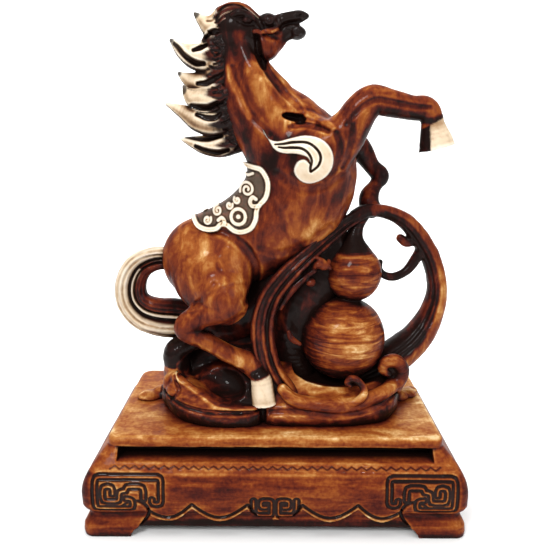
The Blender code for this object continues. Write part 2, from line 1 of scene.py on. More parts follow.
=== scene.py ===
"""Looks of the rearing horse with gourd and ingot on its carved plinth.

The figure is modelled as clay: signed distances on a grid, built up from limbs and lumps,
scored with grooves and beads, and cut into a mesh. A paint job of lacquered wood and ivory
is then laid over it, from what each point of the surface sees and how it curves. Recesses,
including those between the pieces and by the floor, are darker, partly from darker paint in the
hollows and partly from painted shade. What faces up gets painted light, and some pieces carry
painted light, shade, shadows and highlights of their own.
"""

from __future__ import annotations

import logging
import math
from dataclasses import dataclass, field
from enum import Enum

import bpy
import numpy as np
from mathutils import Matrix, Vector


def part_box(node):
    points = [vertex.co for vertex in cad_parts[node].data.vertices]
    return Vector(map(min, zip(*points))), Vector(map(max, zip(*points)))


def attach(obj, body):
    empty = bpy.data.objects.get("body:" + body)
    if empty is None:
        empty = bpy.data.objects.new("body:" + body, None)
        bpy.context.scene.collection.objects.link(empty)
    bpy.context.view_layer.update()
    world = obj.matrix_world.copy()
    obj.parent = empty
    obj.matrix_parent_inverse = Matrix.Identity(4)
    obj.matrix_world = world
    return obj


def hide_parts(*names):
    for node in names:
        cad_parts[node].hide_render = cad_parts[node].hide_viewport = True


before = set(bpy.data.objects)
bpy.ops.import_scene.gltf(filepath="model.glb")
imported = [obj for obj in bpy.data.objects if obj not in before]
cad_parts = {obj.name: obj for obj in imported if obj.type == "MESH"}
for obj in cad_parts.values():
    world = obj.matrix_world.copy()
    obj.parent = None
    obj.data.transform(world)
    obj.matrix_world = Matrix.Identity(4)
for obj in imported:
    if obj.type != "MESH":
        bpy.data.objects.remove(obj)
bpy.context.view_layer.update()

import openvdb
from mathutils import Matrix, Vector

LOG = logging.getLogger("horse")

Point2 = tuple[float, float]
Point3 = tuple[float, float, float]
Station = tuple[float, float, float, float]
Colour = tuple[float, float, float]
Array = np.ndarray

BODY = "root"
FIGURE_NODE = "horse_and_gourd"
PLINTH_NODE = "plinth"
_, FIGURE_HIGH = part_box(FIGURE_NODE)
_, PLINTH_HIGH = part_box(PLINTH_NODE)
PLATFORM_TOP = PLINTH_HIGH.z
# The figure is drawn in millimetres of its own, and is this many of them tall.
FIGURE_UNITS = 301.9
UNIT = (FIGURE_HIGH.z - PLATFORM_TOP) / FIGURE_UNITS
COARSE = 1.0
# The least that a groove leaves of a thin form, to each side of its middle.
WEB = 0.9
# The ridge measure is full at this share of the neighbourhood's size.
RIDGE_SHARE = 0.28


def smooth_step(value: Array) -> Array:
    """Eases a value from 0 to 1.

    Args:
        value: Any array; it is clipped to 0..1 first.

    Returns:
        The eased array.
    """
    held = np.clip(value, 0.0, 1.0)
    return held * held * (3.0 - 2.0 * held)


def rising(value: Array, start: float, reach: float) -> Array:
    """0 up to a start, and from there easing to 1 over a reach."""
    return smooth_step((value - start) / reach)


def falling(value: Array, end: float, reach: float) -> Array:
    """0 from an end on, and 1 before the reach that leads up to it."""
    return smooth_step((end - value) / reach)


def laid_along(line: Array, axis: int) -> Array:
    """Values laid along one axis of a grid."""
    return line.reshape([-1 if k == axis else 1 for k in range(3)])


def smooth_min(first: Array, second: Array, blend: float) -> Array:
    """Joins two distance fields, with a fillet.

    Args:
        first: Distances to the one form.
        second: Distances to the other form.
        blend: Reach of the fillet, in millimetres.

    Returns:
        Distances to the joined form.
    """
    if blend <= 0.0:
        return np.minimum(first, second)
    share = np.clip(0.5 + 0.5 * (second - first) / blend, 0.0, 1.0)
    return second + (first - second) * share - blend * share * (1.0 - share)


def flowing(points: list[tuple[float, ...]], per_span: int = 5) -> Array:
    """Runs a Catmull-Rom curve through points.

    Args:
        points: The points that the curve passes through.
        per_span: Steps between two of them.

    Returns:
        One row for each point of the curve.
    """
    given = np.array(points, float)
    padded = np.vstack([2 * given[0] - given[1], given, 2 * given[-1] - given[-2]])
    rows = []
    for p0, p1, p2, p3 in zip(padded, padded[1:], padded[2:], padded[3:]):
        for step in range(per_span):
            t = step / per_span
            bend = (2 * p0 - 5 * p1 + 4 * p2 - p3) * t**2 + (3 * p1 - p0 - 3 * p2 + p3) * t**3
            rows.append(0.5 * (2 * p1 + (p2 - p0) * t + bend))
    rows.append(given[-1])
    return np.array(rows)


class Side(Enum):
    """Which side of the figure a mark is on."""

    NEAR = -1
    BOTH = 0


@dataclass(frozen=True)
class Limb:
    """A tapering round form along a curve. Its thickness across Y is width times the rest."""

    stations: list[Station]
    width: float = 1.0
    flat: bool = False

    def mirrored(self) -> Limb:
        """The same limb on the far side."""
        return Limb([(x, -y, z, r) for x, y, z, r in self.stations], self.width, self.flat)

    def path(self) -> Array:
        """The limb's stations on a smooth curve, with Y in the limb's own narrowed units."""
        rows = flowing(self.stations)
        rows[:, 3] = np.maximum(rows[:, 3], 0.25)
        rows[:, 1] /= self.width
        return rows

    def bounds(self) -> tuple[Array, Array]:
        """Lowest and highest corner of the limb."""
        rows = self.path()
        scale = np.array([1.0, self.width, 1.0])
        low = (rows[:, :3] - rows[:, 3:4]) * scale
        high = (rows[:, :3] + rows[:, 3:4]) * scale
        return low.min(axis=0), high.max(axis=0)

    def measure(self, x: Array, y: Array, z: Array, margin: float) -> Array:
        """Distances from points to the limb.

        Args:
            x: Across, in millimetres, along the grid's first axis.
            y: Away, along its second axis.
            z: Up from the platform, along its third axis.
            margin: Distances beyond this aren't worked out.

        Returns:
            The distances, in the shape that x, y and z broadcast to.
        """
        rows = self.path()
        deep = y / self.width
        result = np.full(np.broadcast_shapes(x.shape, y.shape, z.shape), margin, np.float32)
        for start, end in zip(rows, rows[1:]):
            room = max(start[3], end[3]) + margin * max(1.0, 1.0 / self.width)
            px, py, pz, span = near_segment((x, deep, z), start, end, room)
            if span is None:
                continue
            along = end[:3] - start[:3]
            length2 = max(float(along @ along), 1e-9)
            dot = (px - start[0]) * along[0] + (py - start[1]) * along[1] + (pz - start[2]) * along[2]
            t = np.clip(dot / length2, 0.0, 1.0)
            dx = px - start[0] - t * along[0]
            dy = py - start[1] - t * along[1]
            dz = pz - start[2] - t * along[2]
            own = np.sqrt(dx * dx + dy * dy + dz * dz) - (start[3] + t * (end[3] - start[3]))
            result[span] = np.minimum(result[span], own)
        if self.flat:
            last = rows[-1, :3]
            out = (last - rows[-2, :3]) / np.linalg.norm(last - rows[-2, :3])
            beyond = (x - last[0]) * out[0] + (deep - last[1]) * out[1] + (z - last[2]) * out[2]
            result = np.maximum(result, beyond.astype(np.float32))
        return result


def near_segment(axes: tuple[Array, Array, Array], start: Array, end: Array, room: float) -> tuple:
    """Cuts open grid axes down to the box around one segment.

    Args:
        axes: The three open axes of the grid.
        start: One end of the segment.
        end: Its other end.
        room: How far beyond the segment the box reaches.

    Returns:
        The three cut axes, and the slices that cut them, or None where the box is empty.
    """
    spans, cut = [], []
    for k, axis in enumerate(axes):
        line = axis.ravel()
        low = min(start[k], end[k]) - room
        high = max(start[k], end[k]) + room
        first, last = np.searchsorted(line, (low, high))
        if last <= first:
            return None, None, None, None
        spans.append(slice(int(first), int(last)))
        cut.append(laid_along(line[first:last], k))
    return cut[0], cut[1], cut[2], tuple(spans)


@dataclass(frozen=True)
class Ball:
    """An egg with three radii, turned about the Y axis by tilt degrees."""

    centre: Point3
    radii: Point3
    tilt: float = 0.0

    def mirrored(self) -> Ball:
        """The same egg on the far side."""
        x, y, z = self.centre
        return Ball((x, -y, z), self.radii, self.tilt)

    def bounds(self) -> tuple[Array, Array]:
        """Lowest and highest corner, for any tilt."""
        centre = np.array(self.centre)
        reach = max(self.radii[0], self.radii[2]) if self.tilt else 0.0
        radii = np.array([max(self.radii[0], reach), self.radii[1], max(self.radii[2], reach)])
        return centre - radii, centre + radii

    def measure(self, x: Array, y: Array, z: Array, margin: float) -> Array:
        """Distances from points to the egg, as Limb.measure gives them."""
        turn = math.radians(self.tilt)
        dx = x - self.centre[0]
        dz = z - self.centre[2]
        across = dx * math.cos(turn) + dz * math.sin(turn)
        up = dz * math.cos(turn) - dx * math.sin(turn)
        a, b, c = self.radii
        deep = y - self.centre[1]
        near = np.sqrt((across / a) ** 2 + (deep / b) ** 2 + (up / c) ** 2) + 1e-6
        slope = np.sqrt((across / a**2) ** 2 + (deep / b**2) ** 2 + (up / c**2) ** 2) + 1e-6
        return np.minimum(near * (near - 1.0) / slope, margin).astype(np.float32)


@dataclass(frozen=True)
class Board:
    """A flat outline in X and Z, or in Y and Z where turned, between two depths."""

    outline: list[Point2]
    start: float
    end: float
    turned: bool = False

    def bounds(self) -> tuple[Array, Array]:
        """Lowest and highest corner of the board."""
        flat = np.array(self.outline)
        low, high = flat.min(axis=0), flat.max(axis=0)
        if self.turned:
            return np.array([self.start, low[0], low[1]]), np.array([self.end, high[0], high[1]])
        return np.array([low[0], self.start, low[1]]), np.array([high[0], self.end, high[1]])

    def measure(self, x: Array, y: Array, z: Array, margin: float) -> Array:
        """Distances from points to the board, as Limb.measure gives them."""
        across, deep = (y, x) if self.turned else (x, y)
        flat = outline_distance(self.outline, across, z)
        thick = np.maximum(self.start - deep, deep - self.end)
        return np.minimum(np.maximum(flat, thick), margin).astype(np.float32)


Form = Limb | Ball | Board


def outline_distance(outline: list[Point2], across: Array, up: Array) -> Array:
    """Signed distances from points to a closed flat outline.

    Args:
        outline: The outline's corners.
        across: Across, in millimetres.
        up: Up, in millimetres.

    Returns:
        Distances, negative inside.
    """
    corners = np.array(outline, float)
    nearest = None
    inside = None
    for (ax, az), (bx, bz) in zip(corners, np.roll(corners, -1, axis=0)):
        ex, ez = bx - ax, bz - az
        wx, wz = across - ax, up - az
        t = np.clip((wx * ex + wz * ez) / max(ex * ex + ez * ez, 1e-9), 0.0, 1.0)
        gap = (wx - ex * t) ** 2 + (wz - ez * t) ** 2
        upward = (up >= az) & (up < bz) & (ex * wz < ez * wx)
        downward = (up < az) & (up >= bz) & (ex * wz > ez * wx)
        crossed = upward | downward
        nearest = gap if nearest is None else np.minimum(nearest, gap)
        inside = crossed if inside is None else inside ^ crossed
    return np.where(inside, -1.0, 1.0) * np.sqrt(nearest)


@dataclass(frozen=True)
class Stroke:
    """A bead, or a groove where height is negative, drawn in X and Z with its own half width."""

    stations: list[tuple[float, float, float]]
    height: float
    soft: float = 1.2
    side: Side = Side.BOTH
    smooth: bool = True

    def rows(self) -> Array:
        """The stroke's stations, on a smooth curve unless it has square corners."""
        if not self.smooth:
            return np.array(self.stations, float)
        rows = flowing(self.stations)
        rows[:, 2] = np.maximum(rows[:, 2], 0.0)
        return rows

    def bounds(self) -> tuple[Array, Array]:
        """Lowest and highest corner of the drawn strip, in X and Z."""
        rows = self.rows()
        reach = rows[:, 2:3] + self.soft
        return (rows[:, :2] - reach).min(axis=0), (rows[:, :2] + reach).max(axis=0)

    def relief(self, across: Array, up: Array) -> Array:
        """How far the surface moves out.

        Args:
            across: X of each point.
            up: Z of each point.

        Returns:
            The height at each point, in millimetres.
        """
        nearest = None
        rows = self.rows()
        for start, end in zip(rows, rows[1:]):
            ex, ez = end[0] - start[0], end[1] - start[1]
            wx, wz = across - start[0], up - start[1]
            t = np.clip((wx * ex + wz * ez) / max(ex * ex + ez * ez, 1e-9), 0.0, 1.0)
            gap = np.sqrt((wx - ex * t) ** 2 + (wz - ez * t) ** 2) - start[2] - t * (end[2] - start[2])
            nearest = gap if nearest is None else np.minimum(nearest, gap)
        return self.height * smooth_step(1.0 - nearest / self.soft)


class Clay:
    """A block of modelling clay: signed distances on a grid, in millimetres of the figure."""

    def __init__(self, low: Point3, high: Point3, step: float, margin: float = 4.0) -> None:
        """Starts an empty block.

        Args:
            low: Lowest corner.
            high: Highest corner.
            step: Grid step.
            margin: How far from a form its distances are still true.
        """
        self.step = step
        self.margin = margin
        self.low = np.array(low, float)
        self.counts = np.ceil((np.array(high) - self.low) / step).astype(int) + 1
        self.distance = np.full(self.counts, margin, np.float32)

    def window(self, low: Array | Point3, high: Array | Point3) -> tuple[tuple[slice, ...], list[Array]]:
        """The part of the grid around a box.

        Args:
            low: The box's lowest corner.
            high: Its highest corner.

        Returns:
            The slices of the grid, and its three open axes.
        """
        first = np.clip(np.floor((np.array(low) - self.low) / self.step).astype(int), 0, self.counts)
        last = np.clip(np.ceil((np.array(high) - self.low) / self.step).astype(int) + 1, first, self.counts)
        axes = []
        for k in range(3):
            line = self.low[k] + self.step * np.arange(first[k], last[k])
            axes.append(laid_along(line.astype(np.float32), k))
        return tuple(slice(int(a), int(b)) for a, b in zip(first, last)), axes

    def sample(self, form: Form, room: float) -> tuple[tuple[slice, ...], Array]:
        """A form's distances in the part of the grid around it.

        Args:
            form: The form.
            room: How far around it the part reaches.

        Returns:
            The slices of the grid, and the distances there.
        """
        low, high = form.bounds()
        part, (x, y, z) = self.window(low - room, high + room)
        return part, form.measure(x, y, z, room)

    def add(self, form: Form, blend: float = 0.0) -> Clay:
        """Joins a form on.

        Args:
            form: The form.
            blend: Reach of the fillet.

        Returns:
            This block.
        """
        part, own = self.sample(form, blend + self.margin)
        self.distance[part] = smooth_min(self.distance[part], own, blend)
        return self

    def carve(self, form: Form, blend: float = 0.0) -> Clay:
        """Takes a form away.

        Args:
            form: The form.
            blend: Reach of the rounded edge.

        Returns:
            This block.
        """
        part, own = self.sample(form, blend + self.margin)
        self.distance[part] = -smooth_min(-self.distance[part], own, blend)
        return self

    def add_all(self, forms: list[Form], blend: float = 0.0) -> Clay:
        """Joins several forms on, one after another.

        Args:
            forms: The forms.
            blend: Reach of the fillets.

        Returns:
            This block.
        """
        for form in forms:
            self.add(form, blend)
        return self

    def score(self, *strokes: Stroke) -> Clay:
        """Draws beads and grooves on the sides of what is there. A groove never cuts through.

        Args:
            strokes: What is drawn, one after another.

        Returns:
            This block.
        """
        for stroke in strokes:
            low, high = stroke.bounds()
            y_low = self.low[1] - self.step
            y_high = self.low[1] + self.step * self.counts[1]
            part, (x, y, z) = self.window((low[0], y_low, low[1]), (high[0], y_high, high[1]))
            if min(len(x), z.shape[2]) == 0:
                continue
            relief = stroke.relief(x, z)
            side = 1.0 if stroke.side is Side.BOTH else smooth_step(stroke.side.value * y / 3.0 + 0.5)
            held = self.distance[part]
            scored = held - (relief * side).astype(np.float32)
            if stroke.height < 0.0:
                middle = y.ravel()[np.argmin(held, axis=1)][:, None, :]
                scored = np.minimum(scored, np.maximum(held, np.abs(y - middle) - WEB))
            self.distance[part] = scored
        return self

    def flatten(self, height: float) -> Clay:
        """Cuts the block off level.

        Args:
            height: Below this it is cut off.

        Returns:
            This block.
        """
        z = self.low[2] + self.step * np.arange(self.counts[2])
        np.maximum(self.distance, (height - z).astype(np.float32), out=self.distance)
        return self

    def roughen(self, amount: float, size: float, seed: int) -> Clay:
        """Works the surface over with shallow random dents.

        Args:
            amount: Deepest dent, in millimetres.
            size: Size of a dent, in millimetres.
            seed: Start of the random draw.

        Returns:
            This block.
        """
        coarse = np.maximum((self.counts * self.step / size).astype(int) + 3, 4)
        dents = np.random.default_rng(seed).uniform(-1.0, 1.0, coarse).astype(np.float32)
        for k in range(3):
            place = np.arange(self.counts[k]) * self.step / size
            first = np.floor(place).astype(int)
            share = laid_along(smooth_step(place - first).astype(np.float32), k)
            dents = np.take(dents, first, axis=k) * (1 - share) + np.take(dents, first + 1, axis=k) * share
        self.distance += amount * dents
        return self

    def blurred(self, radius: float) -> Array:
        """The distances averaged over a cube around each point."""
        held = np.clip(self.distance, -self.margin, self.margin)
        return box_blur(held, max(1, round(radius / self.step)))

    def read(self, values: Array, points: Array) -> Array:
        """Values of a grid at points between its nodes.

        Args:
            values: A grid of this block's shape.
            points: One row for each point, in the figure's millimetres.

        Returns:
            One value for each point.
        """
        place = np.clip((points - self.low) / self.step, 0.0, self.counts - 1.001)
        first = place.astype(int)
        share = place - first
        result = np.zeros(len(points))
        for corner in range(8):
            offset = np.array([corner & 1, corner >> 1 & 1, corner >> 2 & 1])
            weight = np.prod(np.where(offset, share, 1.0 - share), axis=1)
            index = first + offset
            result += weight * values[index[:, 0], index[:, 1], index[:, 2]]
        return result

    def normals(self, points: Array) -> Array:
        """Outward directions of the surface.

        Args:
            points: One row for each point.

        Returns:
            One row for each.
        """
        reach = 0.6 * self.step
        result = np.empty_like(points)
        for k in range(3):
            shift = np.zeros(3)
            shift[k] = reach
            result[:, k] = self.read(self.distance, points + shift) - self.read(self.distance, points - shift)
        length = np.linalg.norm(result, axis=1, keepdims=True)
        return result / np.maximum(length, 1e-9)

    def surface(self, adaptivity: float) -> tuple[Array, Array, Array]:
        """The surface as points, triangles and quads.

        Args:
            adaptivity: How freely nearly flat faces are merged, from 0 to 1.

        Returns:
            Points in the figure's millimetres, and the indices of triangles and quads.
        """
        grid = openvdb.FloatGrid(self.margin)
        grid.copyFromArray(np.clip(self.distance, -self.margin, self.margin))
        points, triangles, quads = grid.convertToPolygons(0.0, adaptivity)
        return self.low + points.astype(float) * self.step, triangles, quads

    def ridge(self, points: Array, radius: float, scale: float) -> Array:
        """How sharply the surface stands out around points.

        Args:
            points: One row for each point.
            radius: Half size of the neighbourhood that is looked at.
            scale: The difference that counts as a full ridge.

        Returns:
            1 on a sharp ridge, 0 where it is level and -1 in a deep groove.
        """
        spread = self.blurred(radius)
        apart = self.read(spread, points) - self.read(self.distance, points)
        return np.clip(apart / scale, -1.0, 1.0)


def box_blur(values: Array, reach: int) -> Array:
    """Averages a grid over a cube of 2 * reach + 1 nodes around each node.

    Args:
        values: A grid.
        reach: How many nodes to each side count.

    Returns:
        The averaged grid.
    """
    for axis in range(3):
        first = np.repeat(np.take(values, [0], axis), reach + 1, axis)
        last = np.repeat(np.take(values, [-1], axis), reach, axis)
        total = np.cumsum(np.concatenate([first, values, last], axis), axis=axis, dtype=np.float64)
        size = values.shape[axis]
        upper = np.take(total, np.arange(2 * reach + 1, 2 * reach + 1 + size), axis)
        lower = np.take(total, np.arange(size), axis)
        values = ((upper - lower) / (2 * reach + 1)).astype(np.float32)
    return values


class Surroundings:
    """How much of the whole ornament stands around a point, for the darker paint and the painted shade in the
    recesses.
    """

    STEP = 2.0
    LOW = (-146.0, -86.0, -10.0)
    HIGH = (146.0, 86.0, 384.0)
    # Half size of the cube that is looked at, how far out it is, and its share of the shade.
    LOOKS = ((4.0, 3.0, 0.35), (9.0, 6.5, 0.40), (17.0, 12.0, 0.25))

    def __init__(self, blocks: list[tuple[Clay, float]]) -> None:
        """Fills a coarse grid with the floor and the clay.

        Args:
            blocks: Each block of clay, and how far it is lifted.
        """
        self.block = Clay(self.LOW, self.HIGH, self.STEP)
        solid = np.zeros(self.block.counts, np.float32)
        for clay, lift in blocks:
            raised = np.array([0.0, 0.0, lift])
            low = clay.low + raised
            part, (x, y, z) = self.block.window(low, low + clay.step * (clay.counts - 1))
            shape = np.broadcast_shapes(x.shape, y.shape, z.shape)
            points = np.stack([np.broadcast_to(axis, shape).ravel() for axis in (x, y, z)], axis=1)
            held = np.clip(0.5 - clay.read(clay.distance, points - raised) / self.STEP, 0.0, 1.0)
            solid[part] = np.maximum(solid[part], held.reshape(shape))
        z = self.LOW[2] + self.STEP * np.arange(self.block.counts[2])
        solid[:, :, z < 0.0] = 1.0
        self.spreads = [box_blur(solid, round(size / self.STEP)) for size, _, _ in self.LOOKS]

    def openness(self, points: Array, normals: Array) -> Array:
        """How open each point of a surface lies.

        Args:
            points: One row for each point.
            normals: Its outward direction.

        Returns:
            0 in a deep recess, up to 1 on an open face.
        """
        shade = np.zeros(len(points))
        for spread, (size, away, weight) in zip(self.spreads, self.LOOKS):
            level = 0.5 * (1.0 - away / size)
            filled = self.block.read(spread, points + normals * away)
            shade += weight * np.clip((filled - level) / (0.75 - level), 0.0, 1.0)
        return 1.0 - shade


def mesh_from(name: str, points: Array, triangles: Array, quads: Array, normals: Array) -> bpy.types.Mesh:
    """A smooth mesh with given outward directions.

    Args:
        name: The mesh's name.
        points: One row for each vertex, in metres.
        triangles: Vertex indices, three for each face.
        quads: Vertex indices, four for each face.
        normals: One outward direction for each vertex.

    Returns:
        The mesh.
    """
    mesh = bpy.data.meshes.new(name)
    corners = np.concatenate([triangles.ravel(), quads.ravel()]).astype(np.int32)
    sizes = np.concatenate([np.full(len(triangles), 3), np.full(len(quads), 4)]).astype(np.int32)
    starts = (np.cumsum(sizes) - sizes).astype(np.int32)
    mesh.vertices.add(len(points))
    mesh.vertices.foreach_set("co", points.astype(np.float32).ravel())
    mesh.loops.add(len(corners))
    mesh.loops.foreach_set("vertex_index", corners)
    mesh.polygons.add(len(sizes))
    mesh.polygons.foreach_set("loop_start", starts)
    mesh.update(calc_edges=True)
    mesh.validate()
    mesh.polygons.foreach_set("use_smooth", np.ones(len(mesh.polygons), bool))
    mesh.normals_split_custom_set_from_vertices(normals.astype(np.float32))
    return mesh


class Value:
    """A socket of a material's nodes, which takes part in sums as a number does."""

    def __init__(self, paint: Paint, socket: bpy.types.NodeSocket) -> None:
        """Holds one output socket of the paint's node tree."""
        self.paint = paint
        self.socket = socket

    def joined(self, operation: str, first: Value | float, second: Value | float) -> Value:
        """A Math node on two values."""
        node = self.paint.node("ShaderNodeMath", {"operation": operation}, {0: first, 1: second})
        return Value(self.paint, node.outputs[0])

    def __add__(self, other: Value | float) -> Value:
        """self + other"""
        return self.joined("ADD", self, other)

    __radd__ = __add__

    def __mul__(self, other: Value | float) -> Value:
        """self * other"""
        return self.joined("MULTIPLY", self, other)

    __rmul__ = __mul__

    def __sub__(self, other: Value | float) -> Value:
        """self - other"""
        return self.joined("SUBTRACT", self, other)

    def __rsub__(self, other: float) -> Value:
        """other - self"""
        return self.joined("SUBTRACT", other, self)

    def clipped(self, low: float = 0.0, high: float = 1.0) -> Value:
        """The value held between low and high."""
        return self.joined("MINIMUM", self.joined("MAXIMUM", self, low), high)


Coat = bpy.types.NodeSocket | tuple[float, ...]


class Paint:
    """The nodes of one material."""

    def __init__(self, name: str) -> None:
        """Starts a material that has a lone Principled shader.

        Args:
            name: The material's name.
        """
        self.material = bpy.data.materials.new(name)
        self.material.use_nodes = True
        self.tree = self.material.node_tree
        self.shader = self.tree.nodes["Principled BSDF"]
        self.place = self.node("ShaderNodeTexCoord", {}, {}).outputs["Object"]

    def node(self, kind: str, settings: dict, inputs: dict) -> bpy.types.Node:
        """Adds a node.

        Args:
            kind: The node's type.
            settings: Its own properties, set before its sockets; stops are a ramp's.
            inputs: Values or links, by the socket's name or number.

        Returns:
            The node.
        """
        node = self.tree.nodes.new(kind)
        for key, setting in settings.items():
            if key == "stops":
                self.set_stops(node.color_ramp, setting)
            else:
                setattr(node, key, setting)
        for key, given in inputs.items():
            self.feed(node.inputs[key], given)
        return node

    def feed(self, socket: bpy.types.NodeSocket, given: Value | Coat | float) -> None:
        """Sets an input socket.

        Args:
            socket: The socket.
            given: What it is set to, or linked from.
        """
        if isinstance(given, Value):
            self.tree.links.new(given.socket, socket)
        elif isinstance(given, bpy.types.NodeSocket):
            self.tree.links.new(given, socket)
        else:
            socket.default_value = given

    @staticmethod
    def set_stops(ramp: bpy.types.ColorRamp, stops: list[tuple[float, Colour]]) -> None:
        """Gives a ramp its stops.

        Args:
            ramp: The ramp.
            stops: Places and colours.
        """
        while len(ramp.elements) < len(stops):
            ramp.elements.new(1.0)
        for element, (position, colour) in zip(ramp.elements, stops):
            element.position = position
            element.color = (*colour, 1.0)

    def layer(self, name: str) -> Value:
        """A value that the brush left on the mesh."""
        node = self.node("ShaderNodeAttribute", {"attribute_name": name}, {})
        return Value(self, node.outputs["Fac"])

    def stretched(self, stretch: Point3) -> bpy.types.NodeSocket:
        """The place on the object, in metres, stretched along its axes."""
        node = self.node("ShaderNodeVectorMath", {"operation": "MULTIPLY"}, {0: self.place, 1: stretch})
        return node.outputs[0]

    def noise(self, vector: bpy.types.NodeSocket, detail: float, rough: float, twist: float = 0.0) -> Value:
        """Noise about 0.5 over a place."""
        inputs = {"Vector": vector, "Scale": 1.0, "Detail": detail, "Roughness": rough, "Distortion": twist}
        return Value(self, self.node("ShaderNodeTexNoise", {}, inputs).outputs["Fac"])

    def ramp(self, value: Value, stops: list[tuple[float, Colour]]) -> bpy.types.NodeSocket:
        """A colour from a value."""
        return self.node("ShaderNodeValToRGB", {"stops": stops}, {0: value}).outputs["Color"]

    def mixed(self, first: Coat, second: Coat, share: Value | float) -> bpy.types.NodeSocket:
        """The first colour with a share of the second."""
        node = self.node("ShaderNodeMix", {"data_type": "RGBA"}, {0: share, 6: first, 7: second})
        return node.outputs[2]

    def bump(self, height: Value, strength: float, depth: float) -> bpy.types.NodeSocket:
        """An outward direction that follows a height."""
        inputs = {"Strength": strength, "Distance": depth, "Height": height}
        return self.node("ShaderNodeBump", {}, inputs).outputs["Normal"]


INK: Colour = (0.010, 0.004, 0.003)
WOOD_STOPS = [
    (0.00, INK),
    (0.16, (0.020, 0.005, 0.004)),
    (0.32, (0.070, 0.010, 0.006)),
    (0.50, (0.165, 0.028, 0.008)),
    (0.67, (0.290, 0.075, 0.014)),
    (0.82, (0.440, 0.180, 0.045)),
    (0.94, (0.610, 0.340, 0.130)),
    (1.00, (0.740, 0.520, 0.270)),
]
IVORY_STOPS = [
    (0.00, (0.020, 0.009, 0.005)),
    (0.25, (0.130, 0.060, 0.030)),
    (0.45, (0.430, 0.270, 0.150)),
    (0.65, (0.760, 0.600, 0.420)),
    (1.00, (0.930, 0.850, 0.720)),
]


@dataclass(frozen=True)
class Lacquer:
    """Wood colours and ivory, painted by hand over a casting under clear gloss.

    Stretch, patches and specks are cells a metre along each axis, so the grain's streaks run along
    the axis that has the fewest. Grain and speckle are how strongly they show in the wood, and worn
    is how pale the open ivory is. The dark, light and wear of recesses and ridges are what a full
    recess or ridge takes from the wood and the ivory, or gives to them. The lighter ridges are wear.
    The darker recesses are darker paint in the hollows together with painted shade from the pieces
    and the floor around them.
    """

    name: str
    stretch: Point3
    grain: float = 0.45
    gloss: float = 0.45
    twist: float = 0.6
    speckle: float = 0.35
    coat: float = 0.13
    wear_and_light: float = 0.82
    broad_share: float = 0.30
    patches: Point3 = (85.0, 85.0, 85.0)
    specks: Point3 = (420.0, 420.0, 420.0)
    recess_dark: float = 0.62
    ridge_light: float = 0.20
    recess_wear_and_shade: float = 0.80
    ridge_wear: float = 0.34
    coat_roughness: float = 0.07
    specular: float = 0.05
    relief: float = 0.0008

    def material(self) -> bpy.types.Material:
        """The material, which reads the layers that the brush left on the mesh."""
        paint = Paint(self.name)
        fine = paint.noise(paint.stretched(self.stretch), 4.0, 0.56, self.twist)
        broad_stretch = tuple(self.broad_share * share for share in self.stretch)
        broad = paint.noise(paint.stretched(broad_stretch), 3.0, 0.5, self.twist)
        patchy = paint.noise(paint.stretched(self.patches), 4.0, 0.62)
        speckle = paint.noise(paint.stretched(self.specks), 2.0, 0.5)
        grain = 2.7 * (fine - 0.5) + 1.4 * (broad - 0.5) + (patchy - 0.5) + self.speckle * (speckle - 0.5)
        openness = paint.layer("open")
        ridge = paint.layer("ridge")
        # Darker paint and painted shade in the recesses, and wear on the ridges.
        base = paint.layer("tone") + self.recess_dark * (openness - 1.0) + self.ridge_light * ridge
        wood = paint.ramp((base + self.grain * grain).clipped(), WOOD_STOPS)
        smudge = 0.30 * (fine - 0.5) + 0.50 * (patchy - 0.5)
        # The ivory is paler where it lies open and on ridges, and darker in recesses from wear and painted
        # shade.
        rubbed_and_shaded = self.wear_and_light + self.recess_wear_and_shade * (openness - 1.0) + self.ridge_wear * ridge + smudge
        ivory = paint.ramp(rubbed_and_shaded.clipped(), IVORY_STOPS)
        colour = paint.mixed(wood, ivory, paint.layer("ivory"))
        line = paint.layer("line").clipped(0.0, 0.97)
        colour = paint.mixed(colour, (*INK, 1.0), line)
        shader = paint.shader
        paint.feed(shader.inputs["Base Color"], colour)
        paint.feed(shader.inputs["Roughness"], (self.gloss + 0.35 * (patchy - 0.45)).clipped(0.2, 0.8))
        gloss = (self.coat * (1.9 - 1.8 * patchy) + 0.20 * line) * (0.3 + 0.7 * openness)
        paint.feed(shader.inputs["Coat Weight"], gloss.clipped(0.02, 0.5))
        shader.inputs["Coat Roughness"].default_value = self.coat_roughness
        shader.inputs["Specular IOR Level"].default_value = self.specular
        height = fine + 0.6 * patchy + 1.2 * line * speckle
        paint.feed(shader.inputs["Normal"], paint.bump(height, 0.30, self.relief))
        return paint.material


@dataclass(frozen=True)
class StudioPaper:
    """Matt white paper that the ornament stands on."""

    name: str = "studio_paper"
    white: Colour = (0.97, 0.97, 0.965)

    def material(self) -> bpy.types.Material:
        """The paper's material, with a trace of unevenness."""
        paint = Paint(self.name)
        mottle = paint.noise(paint.stretched((6.0, 6.0, 6.0)), 3.0, 0.5)
        shade = tuple(0.985 * share for share in self.white)
        colour = paint.mixed((*shade, 1.0), (*self.white, 1.0), mottle)
        paint.feed(paint.shader.inputs["Base Color"], colour)
        paint.shader.inputs["Roughness"].default_value = 0.85
        return paint.material


@dataclass
class Brushwork:
    """What the brush lays on each vertex of a piece."""

    tone: Array
    ivory: Array
    line: Array

    @staticmethod
    def over(points: Array, tone: float) -> Brushwork:
        """A first coat of one tone."""
        count = len(points)
        return Brushwork(np.full(count, tone), np.zeros(count), np.zeros(count))

    def airbrush(self, points: Array, *patches: tuple) -> None:
        """Lightens patches, or darkens them. Each is its change of tone, and then as blob takes it."""
        for change, *patch in patches:
            self.tone += change * blob(points, *patch)


